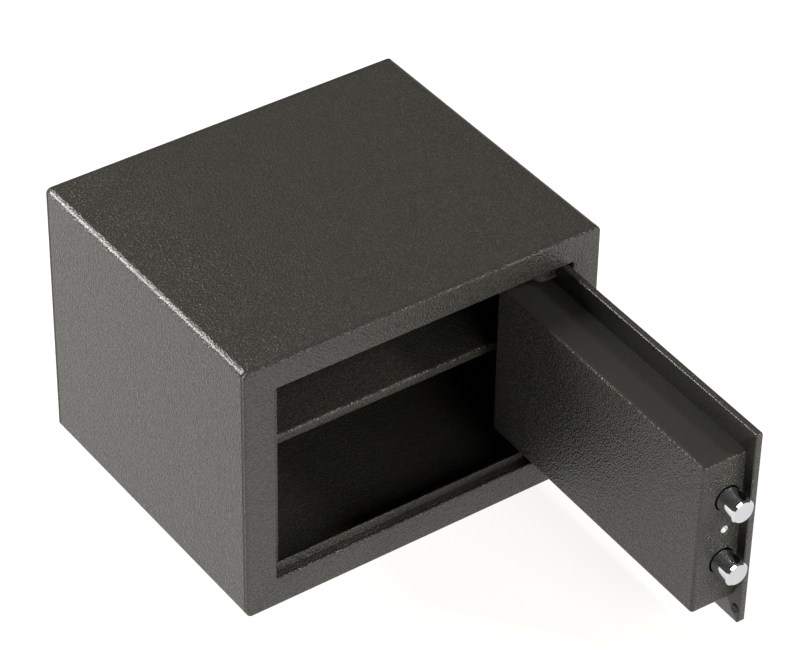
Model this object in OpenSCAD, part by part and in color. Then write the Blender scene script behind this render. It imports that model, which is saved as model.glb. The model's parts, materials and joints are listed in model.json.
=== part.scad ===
// Small steel safe with its door swung open: a bent steel body with one shelf, a thick
// plate door on two pivots, a folded lock cover with two round bolts, and a keypad lock.
// X runs left to right, Y front to back and Z up. The origin is the middle of the body's
// footprint. The door's parts are drawn shut, then turned open together about the pivots.

/* [Body] */
// Width of the body
body_w = 350; // [330:1:450]
// Depth of the body, front to back
body_d = 300; // [180:1:450]
// Height of the body
body_h = 255; // [220:1:400]
// Thickness of the body sheet
sheet = 3; // [2:0.5:3.5]
// Outer radius of the four long bends
bend_r = 5; // [4:0.5:9]
// Thickness of the front frame
frame_t = 3; // [2.5:0.5:4]
// Thickness of the back panel
back_t = 3; // [2.5:0.5:5]
// Rounding of the front and back edges
edge_r = 2; // [0.5:0.5:2.4]

/* [Front opening] */
// Width of the frame at the bolt side
rail_left = 29.3; // [26:0.1:40]
// Width of the frame at the pivot side
rail_right = 27.2; // [20:0.1:40]
// Height of the frame above the opening
rail_top = 26; // [15:0.5:30]
// Height of the frame below the opening
rail_bottom = 29; // [15:0.5:32]
// Corner radius of the opening
opening_r = 2; // [0.5:0.5:3]
// Distance from the front to the stop lips
lip_setback = 9.4; // [9.2:0.1:10]
// Height of the stop lips
lip_h = 7.5; // [4:0.5:7.5]
// Thickness of the stop strips
lip_t = 2; // [1:0.5:2.5]

/* [Shelf] */
// Height of the shelf's top face, as a share of the body's height
shelf_share = 0.49; // [0.4:0.01:0.6]
// Distance from the front to the shelf
shelf_setback = 56; // [55:1:100]
// Height of the shelf's front lip
shelf_lip = 9; // [5:0.5:15]
// Thickness of the shelf sheet
shelf_t = 1.5; // [1:0.25:2]
// Outer radius of the shelf's front bend
shelf_bend_r = 2.5; // [2.25:0.25:4]
// Gap between the shelf and each wall
shelf_gap = 0.5; // [0.3:0.1:2]
// Leg of the two shelf rails
rail_leg = 12; // [8:1:20]
// Distance from the shelf's front to its rails
rail_inset = 8; // [5:1:30]

/* [Anchor holes] */
// Radius of the anchor holes
anchor_r = 6; // [4:0.5:8]
// Distance between the two holes in the floor
floor_spacing = 200; // [100:1:240]
// Distance of the two holes in the floor from the front, as a share of the depth
floor_hole_share = 0.72; // [0.65:0.01:0.85]
// Distance between the two holes in the back
wall_spacing = 200; // [100:1:260]
// Height of the two holes in the back, as a share of the body's height
wall_hole_share = 0.7; // [0.6:0.01:0.8]

/* [Door] */
// Angle at which the door stands open
door_open = 88.6; // [0:0.1:97]
// Thickness of the door plate
door_t = 7; // [5:0.5:7]
// Gap round the door on three sides
door_gap = 1.5; // [1:0.1:3]
// Gap between the door and the frame at the pivots
pivot_gap = 2; // [1.9:0.1:4]
// Recess of the door behind the front
door_recess = 1; // [0.7:0.1:1.2]
// Corner radius of the door plate
door_corner_r = 2; // [1:0.5:4]
// Rounding of the door's front edges
door_edge_r = 0.8; // [0.4:0.1:0.9]

/* [Pivots] */
// Distance from the opening to the pivot axis
pivot_inset = 20.1; // [20:0.1:26]
// Distance from the door plate to the pivot axis
pivot_setback = 9.6; // [9.5:0.1:12]
// Radius of the pivot pins
pin_r = 4; // [2.5:0.1:4.5]
// Thickness of the pivot brackets and door arms
bracket_t = 3.5; // [2.5:0.5:4]
// Distance from the opening to the bracket's leg
bracket_drop = 12; // [8.5:0.1:13]
// Length of the brackets to the left of the axis
bracket_reach = 11.7; // [9:0.1:14]
// Length of the bracket's web to the right of the axis
web_reach = 3.6; // [1:0.1:3.8]
// Thickness of the thrust washers
washer_t = 1; // [0.5:0.1:1.2]
// Radius of the thrust washers
washer_r = 7; // [6:0.1:8]

/* [Lock cover] */
// Depth of the cover behind the door plate
cover_depth = 41.7; // [40:0.1:43]
// Thickness of the cover sheet
cover_t = 1.5; // [1:0.25:2]
// Radius of the cover's bends
cover_r = 3.2; // [2.5:0.1:5]
// Margin from the door's free edge to the cover
cover_free_margin = 9.6; // [9:0.1:12]
// Margin from the door's pivot edge to the cover
cover_pivot_margin = 3; // [2:0.1:10]
// Margin from the door's top to the cover
cover_top_margin = 21; // [21:0.5:24]
// Margin from the door's bottom to the cover
cover_bottom_margin = 23; // [22:0.5:24]
// Height of the side screws below the bolts' middle
screw_drop = 1; // [0:0.5:4]
// Depth of the side screws behind the door plate
screw_depth = 14.6; // [10:0.1:18]

/* [Bolts] */
// Radius of the bolts
bolt_r = 11; // [8:0.5:11]
// Distance between the two bolts
bolt_spacing = 65.5; // [60:0.5:68]
// Height of the bolts' middle above the door's middle
bolt_rise = 3; // [2:0.5:4]
// Depth of the bolt axes behind the door plate
bolt_depth = 15.4; // [15.2:0.1:18]
// Length of the bolts outside the cover when thrown
bolt_reach = 21; // [18:0.5:21]
// Travel of the bolts
bolt_travel = 20; // [19:0.5:20]
// Bevel of the bolt tips
bolt_bevel = 1.4; // [0.5:0.1:2]
// Gap between each bolt and its hole in the cover
bolt_hole_gap = 1.2; // [0.8:0.1:2]

/* [Keypad] */
// Width of the keypad housing, as a share of the body's width
keypad_share = 0.24; // [0.22:0.01:0.25]
// Height of the keypad housing
keypad_h = 130; // [128:1:140]
// Depth of the keypad housing
keypad_d = 23; // [23:0.5:28]
// Corner radius of the keypad housing
keypad_r = 8; // [5:0.5:12]
// Rounding of the keypad's front edges
keypad_edge_r = 3; // [1:0.5:4]
// Wall of the keypad housing
keypad_wall = 3; // [3:0.1:3.4]
// Width of a key
key_w = 15; // [12:0.5:16]
// Height of a key
key_h = 10; // [9:0.5:11]
// Distance between key columns
key_pitch_x = 21; // [20.5:0.5:23]
// Height of a key above the housing
key_proud = 1.6; // [1.4:0.1:3]
// Travel of a key
key_travel = 1.2; // [0.5:0.1:1.2]

/* [Knob] */
// Radius of the knob's grip
knob_r = 21; // [16:0.5:24]
// Height of the knob
knob_h = 24; // [18:0.5:30]
// Number of flutes round the grip
flutes = 12; // [6:1:16]
// Radius of each flute
flute_r = 5; // [3:0.5:5]
// Radius of the spindle
spindle_r = 5; // [3:0.5:6]

/* [Emergency lock] */
// Radius of the lock cylinder
cylinder_r = 9; // [8:0.5:9]
// Radius of the plug inside it
plug_r = 6; // [5:0.5:6.5]
// Distance from the keyhole up to the cover's rivet
key_pivot_rise = 14; // [13:0.5:15]

/* [Hidden] */
$fn = 48;

// Colours
paint = [0.27, 0.27, 0.25];
steel = [0.55, 0.56, 0.57];
bright = [0.85, 0.86, 0.88];
black = [0.08, 0.08, 0.09];
brass = [0.72, 0.58, 0.3];
board_green = [0.1, 0.32, 0.2];
led_red = [0.7, 0.1, 0.08];
key_grey = [0.62, 0.63, 0.64];

// Shared clearances
overrun = 1;
running_fit = 0.08;
seat_fit = 0.02;
loose_fit = 0.3;
arc_steps = 6;

// Faces of the body and of its opening
y_front = -body_d/2;
y_back = body_d/2;
y_frame = y_front + frame_t;
open_x0 = -body_w/2 + rail_left;
open_x1 = body_w/2 - rail_right;
open_z0 = rail_bottom;
open_z1 = body_h - rail_top;
open_w = open_x1 - open_x0;
open_h = open_z1 - open_z0;
shelf_z = shelf_share*body_h;
wall_hole_z = wall_hole_share*body_h;
floor_hole_y = y_front + floor_hole_share*body_d;

// Faces of the door plate, shut
door_x0 = open_x0 + door_gap;
door_x1 = open_x1 - pivot_gap;
door_z0 = open_z0 + door_gap;
door_z1 = open_z1 - door_gap;
door_y0 = y_front + door_recess;
door_y1 = door_y0 + door_t;
door_w = door_x1 - door_x0;
door_h = door_z1 - door_z0;
door_mid_x = (door_x0 + door_x1)/2;
door_mid_z = (door_z0 + door_z1)/2;

// Pivot axis, brackets and arms
pivot_x = open_x1 - pivot_inset;
pivot_y = door_y1 + pivot_setback;
bracket_r = pivot_y - (y_front + lip_setback);
pin_head_r = 5.4;
pin_head_t = 1.2;
pin_end = 1;
strip_end_gap = 4;
strip_x1 = pivot_x - bracket_reach - strip_end_gap;

// Lock cover
cover_x0 = door_x0 + cover_free_margin;
cover_x1 = door_x1 - cover_pivot_margin;
cover_z0 = door_z0 + cover_bottom_margin;
cover_z1 = door_z1 - cover_top_margin;
cover_w = cover_x1 - cover_x0;
cover_h = cover_z1 - cover_z0;
cover_mid_x = (cover_x0 + cover_x1)/2;
cover_mid_z = (cover_z0 + cover_z1)/2;
block_t = 8;
block_h = 16;
screw_r = 2;
screw_hole_r = 4.2;
screw_sunk = 0.7;
screw_len = 7;
recess_w = 0.9;
recess_share = 0.55;

// Rubber bumper in the lower free corner
bumper_r = 4.2;
bumper_t = 1.2;
bumper_in = 4.9;
bumper_up = 12.5;

// Bolts, their guide and the carriage
bolt_mid_z = door_mid_z + bolt_rise;
bolt_y = door_y1 + bolt_depth;
bolt_tip_x = cover_x0 - bolt_reach;
knob_share = 0.307;
knob_x = door_x0 + knob_share*door_w;
knob_to_bolts = 41.8;
bolt_end_x = knob_x - knob_to_bolts;
bolt_len = bolt_end_x - bolt_tip_x;
bolt_stub_r = 5;
guide_from_cover = 12;
guide_t = 3;
guide_foot = 14;
guide_over = 4;
guide_half = bolt_spacing/2 + bolt_r + guide_over - loose_fit;
guide_depth = bolt_depth + bolt_r + guide_over;
carriage_t = 3;
carriage_gap = 10;
carriage_len = 49;
carriage_half = 41;
lock_arm_len = 46;
lock_arm_h = 23;
carriage_y0 = door_y1 + carriage_gap;
carriage_z0 = bolt_mid_z - carriage_half;
lock_arm_z0 = bolt_mid_z + carriage_half - lock_arm_h;
flange_depth = 17;
stud_r = 4;
stud_head_r = 7;
stud_head_t = 2;
stud_ahead = -2;
stud_half = 29;

// Knob, spindle and crank
knob_gap = 0.4;
rose_lip = 2;
knob_base_r = knob_r + 4*knob_gap + rose_lip;
rose_r = knob_base_r + rose_lip;
rose_t = 3;
knob_base_t = 3;
knob_chamfer = 1.5;
knob_waist_r = knob_r - knob_chamfer;
pointer_w = 1.6;
pointer_depth = 0.8;
bush_r = spindle_r + 3*knob_gap + rose_lip;
bush_flange_r = bush_r + rose_lip;
bush_flange_t = 1.5;
crank_r = bolt_travel/sqrt(2);
crank_pin_r = 3;
crank_play = 0.6;
crank_t = 4;
crank_gap = 2;
crank_disc_r = crank_r + crank_pin_r + crank_gap;
crank_pin_end = 2;

// Solenoid and plunger, under the carriage's lock arm
solenoid_ahead = 43;
solenoid_x = knob_x + solenoid_ahead;
solenoid_w = 26;
solenoid_h = 18;
solenoid_drop = 14;
solenoid_z1 = lock_arm_z0 - solenoid_drop;
solenoid_bracket_t = 1.5;
solenoid_bracket_over = 4;
solenoid_d = 2*(carriage_gap + carriage_t/2 - solenoid_bracket_t);
solenoid_y = carriage_y0 + carriage_t/2;
plunger_r = 3;
plunger_gap = 1.5;
plunger_travel = 5;
plunger_in = 12;
collar_r = 5.2;
collar_t = 1;
collar_gap = 1;
spring_len = solenoid_drop - plunger_travel - collar_t - collar_gap;
spring_wire_r = 0.3;
spring_mean_r = 4;
spring_turns = 4;
spring_sides = 6;
spring_steps = 16;
notch_play = 0.7;
notch_clear = 1.2;

// Emergency lock's place, right of the knob
lock_ahead = 37.5;
lock_x = knob_x + lock_ahead;
lock_rose_w = 25;

// Keypad, midway between that lock and the room that the open door leaves it
keypad_w = keypad_share*body_w;
keypad_room = 19.5;
keypad_x = (lock_x + lock_rose_w/2 + pivot_x - keypad_room)/2;
key_r = 2.5;
key_gap = loose_fit;
key_flange = 1.4;
key_flange_t = 1.5;
key_flange_gap = loose_fit;
key_dish_r = 22;
key_dish = 0.6;
key_top_share = 0.277;
key_top_row = key_top_share*keypad_h;
key_pitch_share = 0.123;
key_pitch_z = key_pitch_share*keypad_h;
mat_gap = 0.2;
mat_t = 2;
mat_margin = 2;
mat_r = 3;
board_t = 1.6;
board_w = 62;
board_top_gap = 7;
board_battery_gap = 1.5;
post_r = 2.5;
post_in = 4;
led_r = 1.5;
led_share = 0.377;
led_up = led_share*keypad_h;
led_spread = 12;
led_proud = 0.4;
front_in = keypad_d - keypad_wall;
flange_z0 = front_in - key_flange_gap - key_flange_t;
mat_z1 = flange_z0 - key_travel - mat_gap;
board_z1 = mat_z1 - mat_t;
battery_w = 48.5;
battery_h = 26.5;
battery_d = 17.5;
battery_share = 0.32;
battery_down = battery_share*keypad_h;
battery_r = 3;
board_top = keypad_h/2 - keypad_wall - board_top_gap;
board_bottom = battery_down - battery_h/2 - board_battery_gap;
lid_h = 32;
lid_t = 1.8;
lid_r = 3;
lid_travel = 12;
lid_ledge = 2.5;
lid_w = battery_w + 2*lid_ledge + 2*loose_fit;
groove_w = 1.2;
groove_depth = 0.6;
groove_len = 20;
groove_pitch = 3;
boss_r = 3;
boss_h = 12;
boss_share = 0.34;
boss_up = boss_share*keypad_h;
boss_wall_gap = 3.2;
boss_x = keypad_w/2 - keypad_wall - boss_wall_gap;
m4_r = 1.9;
m4_head_r = 3.5;
m4_head_t = 2.4;
m4_bite = 8;
m4_clear = 0.4;
cable_r = 5;
grommet_wall = 2;
grommet_lip = 2;
grommet_t = 1.5;

// Emergency lock
lock_drop = 32;
lock_z = bolt_mid_z - lock_drop;
lock_back = 24;
lock_flange_r = 10.5;
lock_flange_t = 1.5;
lock_nut_r = 13.5;
lock_nut_t = 3;
lock_rose_h = 32;
lock_rose_up = 4;
lock_rose_t = 2;
lock_rose_r = 11.5;
plug_tail = 2;
keyhole_w = 1.4;
keyhole_h = 7;
keyhole_depth = 15;
cam_len = 18;
cam_w = 9;
cam_t = 2.5;
key_cover_r = 9;
key_cover_t = 2.2;
key_cover_small_r = 4.4;
rivet_r = 1.75;
rivet_head_r = 3.2;
rivet_head_t = 1.2;

// Outline with four round corners, centred
module rounded_rect(w, h, r) {
    square([w - 2*r, h], center = true);
    square([w, h - 2*r], center = true);
    for (x = [-1, 1], y = [-1, 1])
        translate([x*(w/2 - r), y*(h/2 - r)]) circle(r = r);
}

// Slab with round corners and a soft outer edge, its flat face at zero; r is over e
module soft_slab(w, h, t, r, e) {
    profile = concat([[0, 0], [r, 0]],
        [for (i = [0:arc_steps]) [r - e + e*cos(90*i/arc_steps), t - e + e*sin(90*i/arc_steps)]],
        [[0, t]]);
    hull()
        for (x = [-1, 1], y = [-1, 1])
            translate([x*(w/2 - r), y*(h/2 - r), 0]) rotate_extrude($fn = 32) polygon(profile);
}

// Straight slot for a round pin that travels along X from zero to length
module slot(r, length, depth) {
    cylinder(r = r, h = depth);
    translate([length, 0, 0]) cylinder(r = r, h = depth);
    translate([0, -r, 0]) cube([length, 2*r, depth]);
}

// Turns the door's parts from shut to open about the pivots
module door_pose() {
    translate([pivot_x, pivot_y, 0]) rotate([0, 0, door_open])
        translate([-pivot_x, -pivot_y, 0]) children();
}

// Places parts on the door's front: local Y is up and local Z points out
module on_front(x, z) {
    translate([x, door_y0, z]) rotate([90, 0, 0]) children();
}

// Mirrors a part from the top of the opening to its bottom
module at_bottom() {
    translate([0, 0, open_z0 + open_z1]) mirror([0, 0, 1]) children();
}

// Body: wrapper bent from one sheet, with two anchor holes in its floor
module body_wrapper() {
    color(paint) difference() {
        translate([0, y_frame, body_h/2]) rotate([-90, 0, 0])
            linear_extrude(body_d - frame_t - back_t) difference() {
                rounded_rect(body_w, body_h, bend_r);
                rounded_rect(body_w - 2*sheet, body_h - 2*sheet, bend_r - sheet);
            }
        for (x = [-1, 1])
            translate([x*floor_spacing/2, floor_hole_y, -overrun])
                cylinder(r = anchor_r, h = sheet + 2*overrun);
    }
}

// Back panel with two anchor holes for a wall
module back_panel() {
    color(paint) difference() {
        translate([0, y_back - back_t, body_h/2]) rotate([-90, 0, 0])
            soft_slab(body_w, body_h, back_t, bend_r, edge_r);
        for (x = [-1, 1])
            translate([x*wall_spacing/2, y_back + overrun, wall_hole_z]) rotate([90, 0, 0])
                cylinder(r = anchor_r, h = back_t + 2*overrun);
    }
}

// Front frame round the door opening
module front_frame() {
    color(paint) difference() {
        translate([0, y_frame, body_h/2]) rotate([90, 0, 0])
            soft_slab(body_w, body_h, frame_t, bend_r, edge_r);
        translate([(open_x0 + open_x1)/2, y_frame + overrun, (open_z0 + open_z1)/2])
            rotate([90, 0, 0]) linear_extrude(frame_t + 2*overrun)
                rounded_rect(open_w, open_h, opening_r);
    }
}

// Angle strip behind the opening's edge: local X runs along it and Z into the opening
module stop_strip(length) {
    back = lip_setback - frame_t;
    translate([0, 0, -lip_t]) cube([length, back + lip_t, lip_t]);
    translate([0, back, -lip_t]) cube([length, lip_t, lip_h + lip_t]);
}

module sill_strip() {
    color(paint) translate([open_x0 - lip_t, y_frame, open_z0])
        stop_strip(strip_x1 - open_x0 + lip_t);
}

module head_strip() {
    color(paint) at_bottom() translate([open_x0 - lip_t, y_frame, open_z0])
        stop_strip(strip_x1 - open_x0 + lip_t);
}

module strike_strip() {
    color(paint) translate([open_x0, y_frame, open_z0 + lip_h])
        mirror([1, 0, 0]) rotate([0, -90, 0]) stop_strip(open_h - 2*lip_h);
}

// Bracket that hangs behind the frame and carries a pivot pin in its leg
module pivot_bracket() {
    leg_z = open_z1 - bracket_drop;
    web_y = y_front + lip_setback;
    web_x = pivot_x - bracket_reach;
    web_w = bracket_reach + web_reach;
    color(paint) difference() {
        union() {
            translate([web_x, y_frame, open_z1])
                cube([web_w, web_y + bracket_t - y_frame, bracket_t]);
            translate([web_x, web_y, leg_z])
                cube([web_w, bracket_t, bracket_drop + bracket_t]);
            translate([web_x, web_y, leg_z]) cube([bracket_reach, 2*bracket_r, bracket_t]);
            translate([pivot_x, pivot_y, leg_z]) cylinder(r = bracket_r, h = bracket_t);
        }
        translate([pivot_x, pivot_y, leg_z - overrun])
            cylinder(r = pin_r + running_fit, h = bracket_t + 2*overrun);
    }
}

module pivot_bracket_top() {
    pivot_bracket();
}

module pivot_bracket_bottom() {
    at_bottom() pivot_bracket();
}

// Ring between a bracket's leg and a door arm
module thrust_washer() {
    translate([pivot_x, pivot_y, open_z1 - bracket_drop - washer_t])
        linear_extrude(washer_t) difference() {
            circle(r = washer_r);
            circle(r = pin_r + loose_fit);
        }
}

module thrust_washers() {
    color(brass) {
        thrust_washer();
        at_bottom() thrust_washer();
    }
}

// Shelf folded down along its front
module shelf() {
    y0 = y_front + shelf_setback;
    y1 = y_back - back_t - shelf_gap;
    inner_r = shelf_bend_r - shelf_t;
    mid = [y0 + shelf_bend_r, shelf_z - shelf_bend_r];
    outline = concat([[y1, shelf_z]],
        [for (i = [0:arc_steps]) mid + shelf_bend_r*[cos(90 + 90*i/arc_steps), sin(90 + 90*i/arc_steps)]],
        [[y0, shelf_z - shelf_lip], [y0 + shelf_t, shelf_z - shelf_lip]],
        [for (i = [arc_steps:-1:0]) mid + inner_r*[cos(90 + 90*i/arc_steps), sin(90 + 90*i/arc_steps)]],
        [[y1, shelf_z - shelf_t]]);
    length = body_w - 2*sheet - 2*shelf_gap;
    color(paint) translate([-length/2, 0, 0]) rotate([90, 0, 90])
        linear_extrude(length) polygon(outline);
}

// Two angles on the side walls that carry the shelf
module shelf_rails() {
    y0 = y_front + shelf_setback + rail_inset;
    length = y_back - back_t - rail_inset - y0;
    top = shelf_z - shelf_t;
    color(paint) for (side = [0, 1]) mirror([side, 0, 0])
        translate([-body_w/2 + sheet, y0, top]) {
            translate([0, 0, -shelf_t]) cube([rail_leg, length, shelf_t]);
            translate([0, 0, -rail_leg]) cube([shelf_t, length, rail_leg]);
        }
}

// Places of the keypad's four screws, seen from the front
keypad_screw_places = [[-boss_x, boss_up], [boss_x, boss_up],
    [-boss_x, -battery_down], [boss_x, -battery_down]];

// Door plate with the holes that its lock needs
module door_plate() {
    through = door_t + 2*overrun;
    color(paint) door_pose() difference() {
        translate([door_mid_x, door_y1, door_mid_z]) rotate([90, 0, 0])
            soft_slab(door_w, door_h, door_t, door_corner_r, door_edge_r);
        on_front(knob_x, bolt_mid_z) translate([0, 0, overrun - through])
            cylinder(r = bush_r + seat_fit, h = through);
        on_front(lock_x, lock_z) translate([0, 0, overrun - through])
            cylinder(r = cylinder_r + running_fit, h = through);
        on_front(keypad_x, door_mid_z) translate([0, 0, overrun - through]) {
            cylinder(r = cable_r + grommet_wall, h = through);
            for (p = keypad_screw_places)
                translate(p) cylinder(r = m4_r + m4_clear, h = through);
        }
    }
}

// Folded cover over the bolt work, with a hole for each bolt and for each side screw
module lock_cover() {
    color(paint) door_pose() difference() {
        translate([cover_mid_x, door_y1, cover_mid_z]) rotate([-90, 0, 0])
            soft_slab(cover_w, cover_h, cover_depth, cover_r, cover_r - seat_fit);
        translate([cover_mid_x, door_y1 - overrun, cover_mid_z]) rotate([-90, 0, 0])
            soft_slab(cover_w - 2*cover_t, cover_h - 2*cover_t, cover_depth - cover_t + overrun,
                cover_r - cover_t, cover_r - cover_t - seat_fit);
        for (z = [-1, 1])
            translate([cover_x0 - overrun, bolt_y, bolt_mid_z + z*bolt_spacing/2])
                rotate([0, 90, 0]) cylinder(r = bolt_r + bolt_hole_gap, h = cover_t + 2*overrun);
        at_side_screws() translate([0, 0, -cover_t - overrun])
            cylinder(r1 = screw_hole_r - cover_t - overrun, r2 = screw_hole_r + overrun,
                h = cover_t + 2*overrun);
    }
}

// Both side screws' places on the cover's ends, with local Z pointing out
module at_side_screws() {
    z = bolt_mid_z - screw_drop;
    translate([cover_x0, door_y1 + screw_depth, z]) rotate([0, -90, 0]) children();
    translate([cover_x1, door_y1 + screw_depth, z]) rotate([0, 90, 0]) children();
}

// Threaded blocks on the door plate that take the side screws
module cover_blocks() {
    depth = 2*screw_depth - block_t/2;
    color(steel) door_pose() difference() {
        for (x = [cover_x0 + cover_t, cover_x1 - cover_t - block_t])
            translate([x, door_y1, bolt_mid_z - screw_drop - block_h/2])
                cube([block_t, depth, block_h]);
        at_side_screws() translate([0, 0, -cover_t - block_t - overrun])
            cylinder(r = screw_r + seat_fit, h = block_t + 2*overrun);
    }
}

// Countersunk screws with a cross recess, just below the cover's face
module cover_screws() {
    color(bright) door_pose() at_side_screws() difference() {
        union() {
            translate([0, 0, -cover_t])
                cylinder(r1 = screw_hole_r - cover_t - seat_fit,
                    r2 = screw_hole_r - screw_sunk - seat_fit, h = cover_t - screw_sunk);
            translate([0, 0, -cover_t - screw_len]) cylinder(r = screw_r, h = screw_len);
        }
        for (turn = [0, 90]) rotate([0, 0, turn]) translate([0, 0, -screw_sunk])
            cube([2*screw_hole_r*recess_share, recess_w, 2*recess_w], center = true);
    }
}

// Rubber bumper that meets the strike strip
module corner_bumper() {
    color(black) door_pose()
        translate([door_x0 + bumper_in, door_y1, door_z0 + bumper_up]) rotate([-90, 0, 0])
            cylinder(r = bumper_r, h = bumper_t);
}

// Angle on the door plate whose leg holds a pivot pin
module door_arm() {
    ear_z = open_z1 - bracket_drop - washer_t - bracket_t;
    door_pose() difference() {
        union() {
            translate([pivot_x - bracket_r, door_y1, ear_z])
                cube([2*bracket_r, pivot_setback, bracket_t]);
            translate([pivot_x, pivot_y, ear_z]) cylinder(r = bracket_r, h = bracket_t);
        }
        translate([pivot_x, pivot_y, ear_z - overrun])
            cylinder(r = pin_r + seat_fit, h = bracket_t + 2*overrun);
    }
}

module door_arm_top() {
    color(paint) door_arm();
}

module door_arm_bottom() {
    color(paint) at_bottom() door_arm();
}

// Headed pin through a door arm and a bracket
module pivot_pin() {
    leg_z0 = open_z1 - bracket_drop - washer_t - bracket_t;
    translate([pivot_x, pivot_y, leg_z0 - pin_head_t]) {
        cylinder(r = pin_head_r, h = pin_head_t);
        cylinder(r = pin_r, h = pin_head_t + 2*bracket_t + washer_t + pin_end);
    }
}

module pivot_pins() {
    color(steel) {
        pivot_pin();
        at_bottom() pivot_pin();
    }
}

// Angle that guides both bolts behind the cover's end
module bolt_guide() {
    x0 = cover_x0 + guide_from_cover;
    z0 = bolt_mid_z - guide_half;
    color(steel) door_pose() difference() {
        translate([x0, door_y1, z0]) {
            cube([guide_t, guide_depth, 2*guide_half]);
            cube([guide_t + guide_foot, guide_t, 2*guide_half]);
        }
        for (z = [-1, 1])
            translate([x0 - overrun, bolt_y, bolt_mid_z + z*bolt_spacing/2]) rotate([0, 90, 0])
                cylinder(r = bolt_r + running_fit, h = guide_t + 2*overrun);
    }
}

// Shouldered studs that the carriage slides on
module guide_studs() {
    spacer = carriage_gap - loose_fit;
    head = carriage_gap + carriage_t + loose_fit;
    color(steel) door_pose() for (z = [-1, 1])
        translate([knob_x + stud_ahead, door_y1, bolt_mid_z + z*stud_half]) rotate([-90, 0, 0]) {
            cylinder(r = stud_head_r, h = spacer);
            cylinder(r = stud_r, h = head);
            translate([0, 0, head]) cylinder(r = stud_head_r, h = stud_head_t);
        }
}

// Carriage that joins both bolts: guide slots, a slot for the crank and two notches
module bolt_carriage() {
    rim_r = stud_r + loose_fit;
    cut = carriage_t + 2*overrun;
    color(steel) door_pose() difference() {
        union() {
            translate([bolt_end_x, carriage_y0, carriage_z0])
                cube([carriage_len, carriage_t, 2*carriage_half]);
            translate([bolt_end_x, carriage_y0, lock_arm_z0])
                cube([carriage_len + lock_arm_len, carriage_t, lock_arm_h]);
            translate([bolt_end_x, bolt_y - flange_depth/2, carriage_z0])
                cube([carriage_t, flange_depth, 2*carriage_half]);
        }
        for (z = [-1, 1]) {
            translate([knob_x + stud_ahead - bolt_travel - loose_fit, carriage_y0 - overrun,
                    bolt_mid_z + z*stud_half])
                rotate([-90, 0, 0]) slot(rim_r, bolt_travel + 2*loose_fit, cut);
            translate([bolt_end_x - overrun, bolt_y, bolt_mid_z + z*bolt_spacing/2])
                rotate([0, 90, 0]) cylinder(r = bolt_stub_r + seat_fit, h = cut);
        }
        translate([knob_x - bolt_travel/2, carriage_y0 - overrun, bolt_mid_z + crank_r + crank_play])
            rotate([-90, 90, 0])
                slot(crank_pin_r + crank_play, crank_r - bolt_travel/2 + 2*crank_play, cut);
        for (shift = [0, bolt_travel])
            translate([solenoid_x - shift - plunger_r - notch_play, carriage_y0 - overrun,
                    lock_arm_z0 - overrun])
                cube([2*(plunger_r + notch_play), cut,
                    overrun + plunger_travel - plunger_gap + notch_clear]);
    }
}

// Round bolt with a bevelled tip and a riveted stub
module bolt(z) {
    door_pose() translate([bolt_tip_x, bolt_y, z]) rotate([0, 90, 0]) {
        cylinder(r1 = bolt_r - bolt_bevel, r2 = bolt_r, h = bolt_bevel);
        translate([0, 0, bolt_bevel]) cylinder(r = bolt_r, h = bolt_len - bolt_bevel);
        cylinder(r = bolt_stub_r, h = bolt_len + carriage_t);
    }
}

module bolt_upper() {
    color(bright) bolt(bolt_mid_z + bolt_spacing/2);
}

module bolt_lower() {
    color(bright) bolt(bolt_mid_z - bolt_spacing/2);
}

// Bush in the door plate, flanged behind it
module spindle_bush() {
    color(brass) door_pose() on_front(knob_x, bolt_mid_z) difference() {
        union() {
            translate([0, 0, -door_t]) cylinder(r = bush_r, h = door_t);
            translate([0, 0, -door_t - bush_flange_t])
                cylinder(r = bush_flange_r, h = bush_flange_t);
        }
        translate([0, 0, -door_t - bush_flange_t - overrun])
            cylinder(r = spindle_r + running_fit, h = door_t + bush_flange_t + 2*overrun);
    }
}

// Round plate behind the knob
module knob_rose() {
    chamfer = rose_t/3;
    color(black) door_pose() on_front(knob_x, bolt_mid_z) rotate_extrude($fn = 96)
        polygon([[spindle_r + loose_fit, 0], [rose_r, 0], [rose_r, rose_t - chamfer],
            [rose_r - chamfer, rose_t], [spindle_r + loose_fit, rose_t]]);
}

// Fluted knob with a pointer groove
module knob() {
    z0 = rose_t + knob_gap;
    z1 = z0 + knob_h;
    base = z0 + knob_base_t;
    color(black) door_pose() on_front(knob_x, bolt_mid_z) difference() {
        rotate_extrude($fn = 96)
            polygon([[spindle_r + seat_fit, z0], [knob_base_r, z0], [knob_base_r, base - knob_gap],
                [knob_waist_r, base + knob_chamfer], [knob_r, base + 2*knob_chamfer],
                [knob_r, z1 - knob_chamfer], [knob_r - knob_chamfer, z1], [0, z1],
                [0, z1 - knob_base_t], [spindle_r + seat_fit, z1 - knob_base_t]]);
        for (i = [0:flutes - 1])
            rotate([0, 0, 360*(i + 1/2)/flutes])
                translate([knob_r + flute_r/2, 0, base + 2*knob_chamfer])
                    cylinder(r = flute_r, h = knob_h);
        translate([-pointer_w/2, knob_r/3, z1 - pointer_depth])
            cube([pointer_w, knob_r, pointer_depth + overrun]);
    }
}

// Spindle with its crank disc and pin
module knob_spindle() {
    disc_z1 = -door_t - crank_gap;
    pin_z0 = -door_t - carriage_gap - carriage_t - crank_pin_end;
    color(steel) door_pose() on_front(knob_x, bolt_mid_z) {
        translate([0, 0, disc_z1 - crank_t]) {
            cylinder(r = crank_disc_r, h = crank_t);
            cylinder(r = spindle_r, h = crank_t - disc_z1 + rose_t + knob_h - knob_base_t);
        }
        translate([-bolt_travel/2, bolt_travel/2, pin_z0])
            cylinder(r = crank_pin_r, h = disc_z1 - pin_z0);
    }
}

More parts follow.
